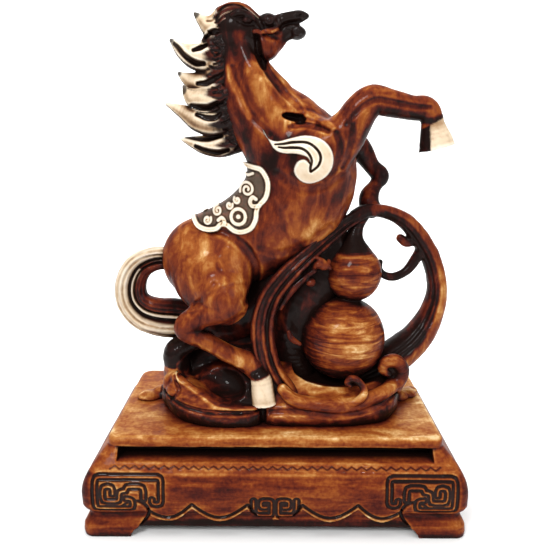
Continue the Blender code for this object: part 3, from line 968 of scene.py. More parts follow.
def blob(points: Array, centre: Point3, radii: Point3, tilt: float = 0.0, soft: float = 0.5) -> Array:
    """An airbrushed patch.

    Args:
        points: One row for each point.
        centre: The middle of the patch.
        radii: Where it has faded to a half.
        tilt: Its turn about the Y axis, in degrees.
        soft: Share of the radii over which it fades.

    Returns:
        1 inside, 0 well outside.
    """
    turn = math.radians(tilt)
    dx = points[:, 0] - centre[0]
    dz = points[:, 2] - centre[2]
    across = (dx * math.cos(turn) + dz * math.sin(turn)) / radii[0]
    deep = (points[:, 1] - centre[1]) / radii[1]
    up = (dz * math.cos(turn) - dx * math.sin(turn)) / radii[2]
    reach = np.sqrt(across**2 + deep**2 + up**2)
    return smooth_step((1.0 + soft - reach) / (2.0 * soft))


def streak(points: Array, path: list[Point2], half_width: float, soft: float) -> Array:
    """A brush stroke along a path in X and Z: 1 on it, 0 beyond its soft edge."""
    stations = [(x, z, half_width) for x, z in path]
    return Stroke(stations, 1.0, soft).relief(points[:, 0], points[:, 2])


def strand(stations: list[Station], aside: float, share: float) -> list[Station]:
    """A thinner form beside a form's centre line.

    Args:
        stations: The form's stations.
        aside: How far aside it lies in X and Z, in shares of the form's radius.
        share: Its radius, in the same shares.

    Returns:
        The thinner form's stations.
    """
    result = []
    for i, (x, y, z, radius) in enumerate(stations):
        before = stations[max(i - 1, 0)]
        after = stations[min(i + 1, len(stations) - 1)]
        along = Vector((after[0] - before[0], after[2] - before[2])).normalized()
        result.append((x - along.y * aside * radius, y, z + along.x * aside * radius, radius * share))
    return result


def beside(stations: tuple[Station, ...], aside: float) -> list[Point2]:
    """The path in X and Z beside a form's centre line, aside in shares of its radius."""
    return [(x, z) for x, _, z, _ in strand(list(stations), aside, 0.1)]


@dataclass
class CastPiece:
    """One modelled and painted piece of the ornament, in the figure's millimetres.

    Its block of clay reaches from low to high and is lifted into place. Ridges are looked for
    within fine, and ground is the tone of the first coat. lit is the painted light from above: it is
    how much lighter the paint is where the piece faces up, and how much darker where it faces down.
    """

    name: str
    low: Point3
    high: Point3
    step: float
    lacquer: Lacquer
    adaptivity: float = 0.004
    node: str = FIGURE_NODE
    slot: str = "figure_lacquer"
    lift: float = PLATFORM_TOP / UNIT
    fine: float = 1.6
    painted_top_light: float = 0.10
    ground: float = 0.5
    clay: Clay | None = None

    def modelled(self) -> Clay:
        """The piece's clay, modelled in an empty block of its own."""
        self.clay = self.model(Clay(self.low, self.high, self.step * COARSE))
        return self.clay

    def model(self, clay: Clay) -> Clay:
        """Models the piece. Each kind of piece has its own way.

        Args:
            clay: An empty block.

        Returns:
            The same block, with the piece in it.
        """
        raise NotImplementedError

    def paint(self, brush: Brushwork, points: Array, normals: Array) -> None:
        """Lays the paint on. Each kind of piece has its own way.

        Args:
            brush: The first coat, which the others go over.
            points: Points of the surface, one row for each.
            normals: Their outward directions.
        """
        raise NotImplementedError

    def cast(self, around: Surroundings) -> bpy.types.Object:
        """Cuts the clay into a mesh, paints it and puts it in place.

        Args:
            around: What stands around the piece.

        Returns:
            The piece, riding on the body.
        """
        points, triangles, quads = self.clay.surface(self.adaptivity)
        normals = self.clay.normals(points)
        raised = points + np.array([0.0, 0.0, self.lift])
        openness = around.openness(raised, normals)
        ridge = self.clay.ridge(points, self.fine, RIDGE_SHARE * self.fine)
        brush = Brushwork.over(points, self.ground)
        self.paint(brush, points, normals)
        mesh = mesh_from(self.name, raised * UNIT, triangles, quads, normals)
        layers = {
            # open drives the darker paint and the painted shade in recesses.
            "open": openness,
            "ridge": ridge,
            # Painted light from above: the tone is lighter where the surface faces up and darker where it
            # faces down.
            "tone": brush.tone + self.painted_top_light * normals[:, 2],
            "ivory": brush.ivory,
            "line": brush.line,
        }
        for layer, values in layers.items():
            mesh.attributes.new(layer, "FLOAT", "POINT").data.foreach_set("value", values.astype(np.float32))
        piece = bpy.data.objects.new(self.name, mesh)
        bpy.context.scene.collection.objects.link(piece)
        mesh.materials.append(self.lacquer.material())
        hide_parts(self.node)
        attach(piece, BODY)
        LOG.info("%s: %d triangles", self.name, len(triangles) + 2 * len(quads))
        return piece


def both_sides(form: Limb | Ball) -> list[Limb | Ball]:
    """A form and its mirror image on the far side."""
    return [form, form.mirrored()]


def build_body(clay: Clay) -> Clay:
    """The trunk, neck, shoulders and haunches, which the saddle cloth and the flame also lie on.

    Args:
        clay: An empty block.

    Returns:
        The same block.
    """
    trunk = [
        (-55, 0, 118, 33), (-26, 0, 131, 33.5), (-3, 0, 146, 36),
        (13, 0, 163, 39.5), (20, 0, 188, 39), (7.5, 0, 210.5, 31),
    ]
    neck = [
        (6, 0, 206.5, 30.5), (-7.5, 0, 223.5, 27.5), (-15.5, 0, 236.5, 24),
        (-22, 0, 250, 19), (-25.5, 0, 263, 15.7), (-27, 0, 279, 14),
    ]
    near_foreleg = [
        (30, -18, 198, 21.5), (42, -23, 207.5, 16.5), (51, -26, 218.5, 13),
        (57.5, -27, 229, 11.6), (65, -28, 235, 10.1), (76.4, -28, 233.2, 9.1),
        (91, -28, 230.2, 8.1), (101, -28, 229.3, 8.2), (106, -28, 222.6, 7),
    ]
    far_foreleg = [
        (40, 16, 198, 19), (51, 20, 203, 14.5), (61, 22, 203, 10.5), (67.5, 22, 197.5, 8),
        (74, 22, 188.5, 6.2), (80.4, 20, 181.2, 6.8), (78.4, 19, 176, 5.3), (75.4, 17, 171.6, 5.4),
        (72, 15, 166, 7.2), (71.6, 12.5, 161, 7.6), (73.4, 10, 156.5, 7.4),
    ]
    clay.add(Limb(trunk, 0.78)).add(Limb(neck, 0.60), 8)
    clay.add_all(both_sides(Ball((-47, -15, 109), (31, 20, 31))), 5)
    clay.add_all(both_sides(Ball((24, -15, 191), (25, 16, 27))), 8)
    clay.add(Limb(near_foreleg), 6).add(Limb(far_foreleg), 6)
    for side in (-1, 1):
        muscle = [(-26, 6, 282, 2.4), (-24, 8.5, 268, 4.4), (-16, 12, 252, 7), (-8, 14, 238, 8.5)]
        muscle += [(0, 15.5, 226, 8.5), (5, 16, 215, 5)]
        clay.add(Limb([(x, side * y, z, r) for x, y, z, r in muscle], 0.7), 3.5)
        clay.carve(Ball((11.5, side * 20, 223.5), (8.5, 7, 2.8), -10.6), 2)
    return clay


@dataclass
class Horse(CastPiece):
    """The horse itself, without its mane, tail and saddle cloth."""

    name: str = "horse"
    low: Point3 = (-90, -52, -2)
    high: Point3 = (126, 44, 306)
    step: float = 0.85
    lacquer: Lacquer = Lacquer("horse_lacquer", (95, 95, 38), wear_and_light=0.56)
    ground: float = 0.46

    def model(self, clay: Clay) -> Clay:
        """Body, head and legs, scored with the folds of the skin."""
        build_body(clay)
        self.add_head(clay)
        self.add_legs(clay)
        self.score_skin(clay)
        clay.roughen(0.22, 7, 11)
        return clay.flatten(0.4)

    def add_head(self, clay: Clay) -> None:
        """Skull, jaw, lips, cheeks, eyes and nostrils.

        Args:
            clay: The horse's block.
        """
        skull = [
            (-30, 0, 284.5, 13.3), (-21, 0, 284.5, 10.5), (-13, 0, 284.2, 8),
            (-5, 0, 285.6, 6.8), (3, 0, 288.4, 5.4), (9, 0, 290.2, 4.8),
        ]
        muzzle = [(2, 0, 289.6, 5), (8.5, 0, 291, 4.8), (15, 0, 292.4, 4.2), (20.2, 0, 292.8, 1.9)]
        jaw = [
            (-10.5, 0, 274.5, 9.6), (-3, 0, 275.4, 7.2), (3.2, 0, 279.6, 5.2),
            (8.5, 0, 281.9, 4.8), (13.2, 0, 282, 4.7),
        ]
        clay.add(Limb(skull, 0.78), 4).add(Limb(jaw, 0.75), 1.6).add(Limb(muzzle, 0.95), 1.5)
        clay.add_all(both_sides(Ball((-8, -3.5, 273), (9.3, 6.5, 9.5))), 2.5)
        clay.add(Ball((-7, 0, 288.6), (7.2, 7.6, 6)), 1)
        clay.add(Ball((13.6, 0, 281.7), (6.4, 6, 4.6)), 1)
        clay.add(Ball((10, 0, 285.6), (6, 5, 2.6)), 0.8)
        for side in (-1, 1):
            clay.carve(Ball((15.5, side * 5, 292.6), (3.4, 3, 1.7), 14), 0.6)
            clay.add(Ball((-21.5, side * 9.2, 288.2), (3.4, 2.6, 2.5)), 0.5)
            brow = [(-31.5, side * 9.6, 291.4, 1.6), (-26.3, side * 10.4, 293, 2)]
            brow += [(-20.2, side * 9.8, 291.8, 1.8), (-14.6, side * 7.6, 287.6, 1.1)]
            clay.add(Limb(brow), 0.8)
            cheek = [(-16, side * 8.4, 281, 2), (-8, side * 8.6, 280.6, 2.4), (0, side * 6.4, 283.6, 1.8)]
            clay.add(Limb(cheek), 1.5)

    def add_legs(self, clay: Clay) -> None:
        """Fore hoof and both hind legs with their hooves.

        Args:
            clay: The horse's block.
        """
        fore_hoof = [(105.6, -28, 221, 7), (106.8, -28, 217, 8.3), (110.4, -28, 203.4, 12.4)]
        hind_leg = [
            (-40, -24, 97, 20), (-38, -28, 90, 16), (-52, -30, 83.5, 10.8), (-67.6, -30, 71.9, 8.4),
            (-53, -30, 61.8, 7.1), (-34.4, -30, 50.8, 7.3), (-20.2, -30, 44.5, 8.3), (-14.9, -30, 37.2, 6.8),
        ]
        hind_hoof = [(-12.5, -33, 35.5, 6.6), (-10.5, -34.5, 31, 8), (-8.5, -37, 14, 9.6)]
        far_leg = [
            (-42, 18, 98, 21), (-29, 24, 70, 11), (-45, 28, 55, 8.5),
            (-30, 28, 43, 7), (-18, 27, 36, 7.5), (-13, 27, 28, 7),
        ]
        far_hoof = [(-12.5, 27, 26, 7), (-9, 27, 10, 10)]
        clay.add(Limb(fore_hoof, 0.85, flat=True), 1)
        clay.add(Limb(hind_leg), 4).add(Limb(hind_hoof, flat=True), 1)
        clay.add(Limb(far_leg), 5).add(Limb(far_hoof, flat=True), 1.5)

    @staticmethod
    def score_skin(clay: Clay) -> None:
        """Creases of the neck, shoulders, haunches and legs.

        Args:
            clay: The horse's block.
        """
        crease = [(-10, 261, 0.5), (-5.6, 252.9, 0.9), (0.6, 245.6, 1), (6.9, 238.2, 1)]
        crease += [(13.3, 232.2, 0.9), (17.3, 226.2, 0.5)]
        mane_line = [(-31.8, 257, 0.5), (-30.4, 248.2, 0.9), (-25.8, 239.3, 1), (-21.2, 228.9, 1)]
        mane_line += [(-14.9, 221.4, 0.8), (-5.5, 212.3, 0.5)]
        jaw_line = [(-12, 281, 0.2), (-6, 277.6, 0.6), (0, 277.2, 0.2)]
        chest_ridge = [(16.7, 227.1, 0.8), (24.7, 224.8, 1.2), (32.7, 220.3, 1.2), (37.6, 216.4, 0.6)]
        chest_fold = [(8.7, 217, 0.4), (16.6, 218.5, 0.8), (26, 217.1, 0.8), (34, 214.1, 0.4)]
        shoulder = [
            (39.9, 212.6, 0.6), (42.4, 205.2, 1), (41.9, 197.8, 1), (39.1, 188.8, 0.8), (33, 182, 0.4),
        ]
        elbow = [(50, 218.4, 0.4), (50.3, 209.7, 0.9), (47.7, 197.9, 0.9), (44.9, 190.5, 0.4)]
        tendon = [(45.9, 218.4, 0.4), (54.5, 228.5, 0.8), (64.7, 234.5, 0.8), (75.2, 233.5, 0.8)]
        tendon += [(90.3, 230.8, 0.7), (102, 230, 0.3)]
        thigh = [(-48.9, 143.6, 0.4), (-38.2, 142.3, 0.8), (-30.1, 138.2, 1.2), (-22.1, 131.4, 1.5)]
        thigh += [(-17.4, 123.1, 1.5), (-15.4, 114.7, 1.5), (-16.1, 104.8, 1.2), (-20.9, 93.3, 0.8)]
        thigh_fold = [(-44.2, 107.5, 0.4), (-49.8, 100.3, 0.9), (-55.5, 93.1, 0.9), (-61.3, 85.8, 0.4)]
        gaskin = [(-25.2, 84.6, 0.4), (-30.7, 81.6, 0.8), (-42, 75, 0.9), (-50.4, 73.4, 0.4)]
        cannon = [(-60, 60.2, 0.4), (-48.5, 52.9, 0.8), (-34.3, 44.6, 0.8), (-24.3, 40.1, 0.4)]
        belly = [(-12, 132, 0.4), (2, 128, 0.8), (20, 134, 0.9), (38, 147, 0.5)]
        ribs = [(0, 186, 0.3), (14, 176, 0.9), (30, 176, 0.9), (45, 184, 0.3)]
        flank = [(-6, 170, 0.3), (2, 157, 0.9), (4, 145, 0.9), (-2, 134, 0.3)]
        near = Side.NEAR
        clay.score(
            Stroke(crease, -2, 3), Stroke(mane_line, -1.5, 3.4), Stroke(jaw_line, -0.9, 1.8),
            Stroke(chest_ridge, 1.2, 2.4), Stroke(chest_fold, -1.4, 2), Stroke(shoulder, -1.6, 3, near),
            Stroke(elbow, -1.4, 2.8, near), Stroke(tendon, -1.1, 2, near), Stroke(thigh, -2.2, 3.6),
            Stroke(thigh_fold, -1.1, 3.2, near), Stroke(gaskin, -1, 2.6, near),
            Stroke(cannon, -0.9, 2.2, near), Stroke(belly, -0.9, 4), Stroke(ribs, -0.9, 4),
            Stroke(flank, -0.8, 4),
        )
        mouth = [
            (1.2, 283.6, 0.2), (3.8, 286.4, 0.5), (8.6, 287.9, 0.6), (14, 288.3, 0.8), (21.5, 288.9, 1.2),
        ]
        throat = [
            (-14.9, 277.5, 0.5), (-13.8, 272.4, 0.9), (-13.2, 266.8, 1.1), (-11.8, 261.8, 1.1),
            (-10.2, 257.6, 0.7),
        ]
        eyelid = [(-28, 287.6, 0.1), (-22.5, 285.4, 0.4), (-16.5, 285.6, 0.2)]
        bridge = [(-14.5, 293, 0.5), (-13.6, 288, 0.7), (-10.6, 283.6, 0.3)]
        nose_fold = [(1.6, 294.5, 0.4), (0.2, 290.5, 0.6), (1.4, 286.8, 0.4)]
        clay.score(
            Stroke(mouth, -2.6, 1.2), Stroke(eyelid, -1, 1), Stroke(throat, -2.4, 2),
            Stroke(bridge, -1.4, 1.6), Stroke(nose_fold, -1.2, 1.4),
            Stroke(spiral((-5.8, 288.8), 3.8, 1.4, 60, 0.3), 0.6, 0.8),
            Stroke(spiral((14.6, 292.8), 2.6, -1.2, 190, 0.3), 0.8, 0.7),
            Stroke(spiral((13.8, 281.8), 3.4, 1.3, 80, 0.35), 0.8, 0.8),
        )
        for k in range(4):
            strip = [(-11.5 + 2.4 * k, 282 - k, 0.2), (-9.5 + 2.6 * k, 277, 0.4)]
            clay.score(Stroke([*strip, (-8.5 + 1.8 * k, 270.5, 0.2)], -0.35, 1.2))

    def paint(self, brush: Brushwork, points: Array, normals: Array) -> None:
        """Red-brown wood, golden where its paint wears thin, a dark head and ivory hooves, with painted shade
        on the far legs, under the forelegs and over the hind hoof.
        """
        x, y, z = points.T
        tone = brush.tone
        golden = [(-18, 256), (-16, 250), (-11, 240), (-3, 227), (3, 216)]
        tone += 0.26 * streak(points, golden, 3.2, 5) * smooth_step(0.5 - y / 4)
        by_mane = [(-35, 257), (-32.5, 249), (-27.5, 240), (-24.5, 232), (-20, 224)]
        tone += 0.34 * streak(points, by_mane, 0.8, 2.6)
        mane_side = [(-40, 262), (-39, 250), (-39, 236), (-33, 220), (-23, 208)]
        tone -= 0.26 * streak(points, mane_side, 0.5, 4)
        brush.airbrush(
            points,
            (0.11, (-46, -30, 122), (24, 26, 20), -20, 0.7),  # Haunch.
            (0.05, (8, -28, 158), (16, 20, 18), 0, 0.8),  # Flank.
            (0.20, (20, -24, 142), (24, 24, 12), 24, 0.8),  # Belly.
            (0.24, (36, -30, 192), (9, 20, 17), 0, 0.7),  # Chest.
            (-0.14, (-7, -8, 272), (11, 14, 10), 0, 0.6),  # Cheek.
            (0.07, (-44, -36, 96), (14, 20, 10), 30, 0.8),  # Thigh.
            (-0.12, (10, -20, 198), (30, 40, 18), 10, 0.6),  # Around the flame.
            (-0.11, (-10, -20, 200), (18, 40, 24), 0, 0.7),  # Withers.
            (-0.06, (4, -36, 128), (22, 30, 10), 0, 0.7),  # Fold of the thigh.
            (0.04, (-22, -34, 45), (13, 12, 5), -24, 0.6),  # Fetlock.
            (-0.45, (12, 0, 223.5), (8, 40, 2.4), -10, 0.6),  # Hollow at the neck's foot.
        )
        tone += 0.20 * streak(points, [(-52, 60), (-40, 54), (-28, 48)], 3, 3.5)
        # The neck and the head get darker towards the top.
        tone -= 0.28 * rising(z, 250, 22) * falling(x, -8, 8)
        tone -= 0.34 * rising(z, 280, 4)
        tone -= 0.40 * rising(x, 0.5, 4) * rising(z, 274, 4)
        nose = rising(z, 281.5, 3) * rising(x, -17, 5)
        chin = rising(x, 3, 3.5) * rising(z, 275, 3)
        brush.line = 0.78 * np.maximum(nose, chin)
        light_lip = streak(points, [(-4, 281), (0, 283), (5, 286.4)], 0.35, 1)
        brush.line *= 1 - 0.8 * light_lip
        tone += 0.45 * light_lip
        tone += 0.12 * streak(points, [(-10, 279), (-4, 274), (-2, 268)], 0.6, 1.6)
        # Painted shade: the far legs are darker, and so is what faces down at the forelegs.
        far = rising(y, 2, 8)
        tone -= 0.26 * far * rising(x, 44, 12)
        tone -= 0.14 * far * falling(z, 96, 12)
        tone -= 0.16 * rising(-normals[:, 2], 0.1, 0.5) * rising(x, 48, 8)
        # The hooves are ivory down from a slanting edge.
        fore = smooth_step((219.2 + 0.55 * (x - 103.5) - z) / 1) * (x > 92)
        heel = smooth_step((103.9 + 0.05 * (204 - z) - x) / 1 + 0.5)
        hind = smooth_step((35 + 0.30 * (x + 14) - z) / 1) * (x > -19.5) * (x < 4) * (y < -22)
        far_hind = falling(z, 26, 1.2) * (x > -26) * (x < 8) * (y > 14)
        brush.ivory = np.clip(fore * (1 - heel) + hind + far_hind, 0, 1)
        tone -= 0.6 * fore * heel
        # Painted shadow: a dark band over the hind hoof, under the fetlock.
        tone -= 0.55 * streak(points, [(-16, 38.5), (-4, 41.5)], 1.6, 2.4) * (y < -20)
        tone -= 0.40 * streak(points, [(92, 224), (103, 221.5), (112, 224.6)], 1, 2) * (x > 88)


@dataclass
class Mane(CastPiece):
    """Six flame-like locks on a dark crest, and the forelock."""

    name: str = "mane"
    low: Point3 = (-88, -24, 190)
    high: Point3 = (-4, 24, 304)
    step: float = 0.62
    lacquer: Lacquer = Lacquer("mane_lacquer", (60, 160, 160), grain=0.30, wear_and_light=0.53)
    ground: float = 0.12
    locks: tuple = (
        [(-38, 0, 282, 10), (-46, 0, 284, 8), (-53, 0, 289, 4.4), (-58.5, 0, 294, 1.2)],
        [
            (-38, 0, 271, 9), (-50, 0, 264.5, 11), (-60.5, 0, 265.5, 8.6), (-69, 0, 270, 5),
            (-75.8, 0, 276.5, 1.2),
        ],
        [
            (-37, 2, 252, 9), (-49, 2, 247.5, 10), (-59, 2, 247.5, 7.6), (-66, 2, 250.5, 4.2),
            (-71.2, 2, 254.5, 1.2),
        ],
        [
            (-36, -3, 240, 8), (-48.5, -4, 235.5, 10), (-58.6, -4, 236, 7.8), (-64.5, -4, 240, 4),
            (-67, -4, 245, 1.2),
        ],
        [(-31, 0, 225, 9), (-46, 0, 220.5, 11), (-58, 0, 222, 9), (-68, 0, 227, 5.4), (-80.3, 0, 233, 1.2)],
        [
            (-22, 2, 211, 10), (-41, 2, 203.8, 9.2), (-53, 2, 203.8, 7.3), (-62.4, 2, 206, 4.3),
            (-70.5, 2, 208.2, 1.2),
        ],
    )
    notches: tuple = (
        [(-49.9, 272.3), (-54.6, 270.4), (-59.2, 269)],
        [(-73.5, 273.9), (-70.2, 270.6), (-66.3, 266.3), (-61.7, 262.5), (-57.2, 260.3), (-52, 260)],
        [(-57, 246.8), (-50.5, 247.2), (-45, 249.6), (-40, 252.4)],
        [(-61.5, 231.4), (-55.6, 230.3), (-49, 230.2), (-43, 233)],
        [(-58, 225.4), (-51, 223), (-45, 223), (-41, 226)],
        [(-67, 210), (-58, 208.6), (-50, 208.4), (-41, 210.5)],
        [(-60, 203), (-52, 199.6), (-44, 198.6), (-36, 200.6)],
        [(-50.5, 277.5), (-45.5, 281), (-40, 281.5)],
    )

    def model(self, clay: Clay) -> Clay:
        """Each lock is a bold blade with a bead along its upper side."""
        crest = [
            (-43, 0, 286, 8.5), (-44, 0, 273, 9.5), (-43, 0, 256, 10),
            (-42, 0, 240, 10), (-34, 0, 224, 10), (-25, 0, 210, 8.5),
        ]
        clay.add(Limb(crest, 0.8))
        clay.add(Limb([(-47, 0, 284, 4.5), (-47, 0, 276, 5), (-46, 0, 268, 5)]), 1)
        for stations in self.locks:
            clay.add(Limb(strand(stations, -0.08, 0.92), 0.85), 1)
            clay.add(Limb(strand(stations, 0.62, 0.34), 1.9), 0.8)
        forelock = [(-38.5, 0, 292, 7.3), (-32, 0, 295.2, 6.4), (-24, 0, 295.4, 5.2), (-15, 0, 291, 3)]
        clay.add(Limb(forelock, 1.3), 2)
        wisp = [(-48.6, -3, 280.5, 2.6), (-51.5, -4, 277, 1.6), (-54.6, -4, 273.6, 0.6)]
        clay.add(Limb(wisp), 0.6)
        for path in self.notches:
            widths = [0.3, *[1.1] * (len(path) - 2), 0.3]
            clay.score(Stroke([(x, z, r) for (x, z), r in zip(path, widths)], -2.6, 1.5))
        self.score_hair(clay)
        return clay.roughen(0.18, 4, 23)

    @staticmethod
    def score_hair(clay: Clay) -> None:
        """Fine grooves over the crest, and the arcs of the forelock.

        Args:
            clay: The mane's block.
        """
        draw = np.random.default_rng(5)
        for k in range(56):
            z = 290 - 1.55 * k
            right = float(np.interp(z, [200, 215, 235, 262, 290], [-22, -28, -34, -36, -37]))
            right -= draw.uniform(0, 7)
            reach, drop, depth = draw.uniform(3, 8), draw.uniform(-3, 6), draw.uniform(0.4, 1.3)
            middle = (right - 0.5 * reach, z - 0.3 * drop - 1.2, 0.3)
            clay.score(Stroke([(right, z, 0.1), middle, (right - reach, z - drop, 0.1)], -depth, 0.9))
        for k in range(5):
            lift = 1.7 * k
            arc = [(-43.5 + 0.6 * k, 287 + lift, 0.2), (-36, 291 + lift, 0.4)]
            arc += [(-27, 291 + lift, 0.4), (-17 - 0.5 * k, 286 + lift, 0.2)]
            clay.score(Stroke(arc, -1.3, 0.9))

    def paint(self, brush: Brushwork, points: Array, normals: Array) -> None:
        """Ivory locks with dark notches, a nearly black crest and a dark red forelock."""
        tone = brush.tone
        x, y, z = points.T
        along, above = self.along_locks(x, z)
        # Painted shade: where a lock faces down, its ivory gives way to the dark ground.
        under = rising(-normals[:, 2], 0.35, 0.4)
        start = 0.19 + 0.06 * np.sin(5 * above + 0.1 * z) + 0.03 * np.sin(1.3 * z)
        brush.ivory = smooth_step((along - start) / 0.10) * (1 - 0.85 * under)
        brush.ivory *= 1 - 0.8 * rising(-above, 0.62, 0.2) - 0.14 * rising(-above, 0.05, 0.3)
        brush.line = 0.45 * (1 - brush.ivory)
        roots = np.interp(z, [205, 220, 235, 262, 290], [-31, -40, -42, -42, -42])
        brush.ivory *= 1 - smooth_step((x - roots) / 3)
        for path in self.notches:
            brush.line = np.maximum(brush.line, streak(points, path, 0.9, 1.1))
        tips = ((-58.5, 294, 4.5), (-75.8, 276.5, 3), (-71, 254, 2.6), (-68.5, 242.5, 4.6))
        for tip_x, tip_z, reach in tips:
            near = smooth_step((reach - np.hypot(x - tip_x, z - tip_z)) / 1.6)
            brush.line = np.maximum(brush.line, 0.9 * near)
        top = rising(z, 286, 5) * rising(x, -45, 5)
        brush.ivory *= 1 - top
        tone += 0.14 * top
        brush.line *= 1 - 0.8 * top
        # Painted highlights: pale arcs across the forelock's strands.
        strands = np.sin(1.7 * (z + 0.03 * (x + 29) ** 2) + 0.4 * y)
        brush.ivory += 0.50 * top * rising(strands, 0.66, 0.34) * falling(z, 298.5, 3)

    def along_locks(self, across: Array, up: Array) -> tuple[Array, Array]:
        """Where points lie on the locks.

        Args:
            across: X of each point.
            up: Z of each point.

        Returns:
            How far along its lock each point is, from 0 at the root to 1 at the tip, and how far
            above the lock's middle it is, in shares of its radius.
        """
        nearest = np.full(len(across), np.inf)
        along = np.zeros(len(across))
        above = np.zeros(len(across))
        for stations in self.locks:
            rows = flowing(stations)
            last = len(rows) - 1
            for i, (start, end) in enumerate(zip(rows, rows[1:])):
                ex, ez = end[0] - start[0], end[2] - start[2]
                wx, wz = across - start[0], up - start[2]
                t = np.clip((wx * ex + wz * ez) / (ex * ex + ez * ez), 0, 1)
                radius = start[3] + t * (end[3] - start[3])
                gap = np.hypot(wx - ex * t, wz - ez * t) - radius
                closer = gap < nearest
                nearest = np.where(closer, gap, nearest)
                along = np.where(closer, (i + t) / last, along)
                side = (wz * ex - wx * ez) / math.hypot(ex, ez)
                above = np.where(closer, -side / radius * (1 if ex < 0 else -1), above)
        return along, above


@dataclass
class Tail(CastPiece):
    """The tail, curling from the haunch down behind the hock."""

    name: str = "tail"
    low: Point3 = (-132, -26, 44)
    high: Point3 = (-54, 32, 134)
    step: float = 0.7
    lacquer: Lacquer = Lacquer("tail_lacquer", (120, 120, 60), grain=0.30, wear_and_light=0.62)
    ground: float = 0.22
    line: tuple = (
        (-72, 0, 114, 9), (-85.4, 0, 118.5, 8.8), (-98, 0, 116.8, 9.5), (-107.8, 0, 110.5, 10.8),
        (-113.6, 0, 98.4, 11.9), (-113, 0, 85, 12.8), (-105.3, 0, 75.3, 14.2),
        (-93.6, 0, 71, 15.2), (-80.1, 4, 68.5, 16), (-62, 6, 66, 14),
    )
    strands: tuple = ((-0.50, 0.50), (0.14, 0.32), (0.60, 0.42))

    def model(self, clay: Clay) -> Clay:
        """Three strands side by side, with fine hair scored along them."""
        for aside, share in self.strands:
            clay.add(Limb(strand(list(self.line), aside, share), 1.3), 0.8)
        for aside, depth in ((-0.74, 0.5), (-0.38, 0.6), (0.02, 1.2), (0.32, 1.2), (0.55, 0.5), (0.78, 0.4)):
            path = [(x, z, 0.35) for x, z in beside(self.line, aside)]
            clay.score(Stroke(path, -depth, 1.2))
        return clay.roughen(0.15, 4, 31)

    def paint(self, brush: Brushwork, points: Array, normals: Array) -> None:
        """The outer strand and a thin inner one are ivory, the rest is dark."""
        outer = streak(points, beside(self.line, -0.52), 4.6, 1.6)
        inner = streak(points, beside(self.line, 0.2)[3:], 1.2, 1.3)
        fade = falling(points[:, 0], -68, 8)
        # Painted shade: the ivory darkens where the tail faces down, except at its leftmost curl.
        below = rising(-normals[:, 2], 0.1, 0.5) * rising(points[:, 0], -110, 14)
        wear_and_light = 0.84 - 0.16 * np.sin(2.1 * np.hypot(points[:, 0] + 88, points[:, 2] - 94))
        brush.ivory = np.clip(outer * fade * wear_and_light * (1 - 0.8 * below) + 0.8 * inner * fade, 0, 0.92)
        brush.line = 0.9 * streak(points, beside(self.line, 0.02), 0.5, 1.5)


CLOTH_EDGE: list[Point2] = [
    (-17, 190.6), (-10.5, 188.9), (-5.6, 182), (-4.6, 175), (-6.6, 167), (-12.2, 160.2), (-13.4, 152),
    (-17.6, 144.8), (-25.2, 141.7), (-32, 142.8), (-38.5, 147.2), (-43, 143.6), (-51, 142.5),
    (-59, 145), (-64.5, 151), (-74, 160), (-56, 178), (-40, 189), (-26, 192.5),
]
FLAME_EDGE: list[Point2] = [
    (-10, 215), (-7, 209.5), (0, 207.2), (9, 209.4), (19, 211.4), (29, 209.4), (35.5, 203.5),
    (38, 196), (36.5, 188), (31, 182), (23, 179), (16, 181), (11.6, 187), (13.6, 193.6),
    (18.5, 195.6), (22.2, 192.6), (20.6, 197), (13, 199.2), (4, 199.4), (-3, 203),
]


def rounded_edge(edge: list[Point2], per_span: int = 3) -> list[Point2]:
    """A closed outline run smoothly through its corners.

    Args:
        edge: The corners.
        per_span: Steps between two of them.

    Returns:
        The outline.
    """
    ring = [edge[-1], *edge, edge[0], edge[1]]
    rows = flowing(ring, per_span)[per_span:-2 * per_span]
    return [(float(x), float(z)) for x, z in rows]


@dataclass
class RaisedOrnament(CastPiece):
    """An ornament that lies on the body, as a layer whose height is drawn in X and Z."""

    edge: list[Point2] = field(default_factory=list)
    base: float = 1.2
    sunk: float = 3.6
    thickness: float = 2.6
    overlap: float = 2.0
    beads: list[Stroke] = field(default_factory=list)
    fine: float = 1.0

    def inward(self, across: Array, up: Array) -> Array:
        """How far inside the ornament's edge a point lies, in millimetres."""
        return -outline_distance(rounded_edge(self.edge), across, up)

    def model(self, clay: Clay) -> Clay:
        """The body, standing proud by the drawn height within the edge and sunk outside it."""
        build_body(clay)
        part, (x, y, z) = clay.window(clay.low, clay.low + clay.step * clay.counts)
        inside = self.inward(x, z)
        height = self.base * smooth_step(inside / 1.6 + 0.5) - self.sunk * smooth_step(-inside / 1.5)
        height = height + self.relief(x, z, inside)
        skin = clay.distance.copy()
        clay.distance[part] -= height.astype(np.float32)
        np.maximum(clay.distance, -(skin + self.thickness), out=clay.distance)
        beyond = (-inside - self.overlap).astype(np.float32)
        clay.distance[part] = np.maximum(clay.distance[part], beyond)
        return clay

    def relief(self, across: Array, up: Array, inside: Array) -> Array:
        """Height of the drawn beads over the ornament's ground.

        Args:
            across: X of each point.
            up: Z of each point.
            inside: How far inside the edge each lies.

        Returns:
            The heights.
        """
        height = np.zeros(np.broadcast_shapes(across.shape, up.shape))
        for bead in self.beads:
            height = height + bead.relief(across, up) * (inside > -1)
        return height


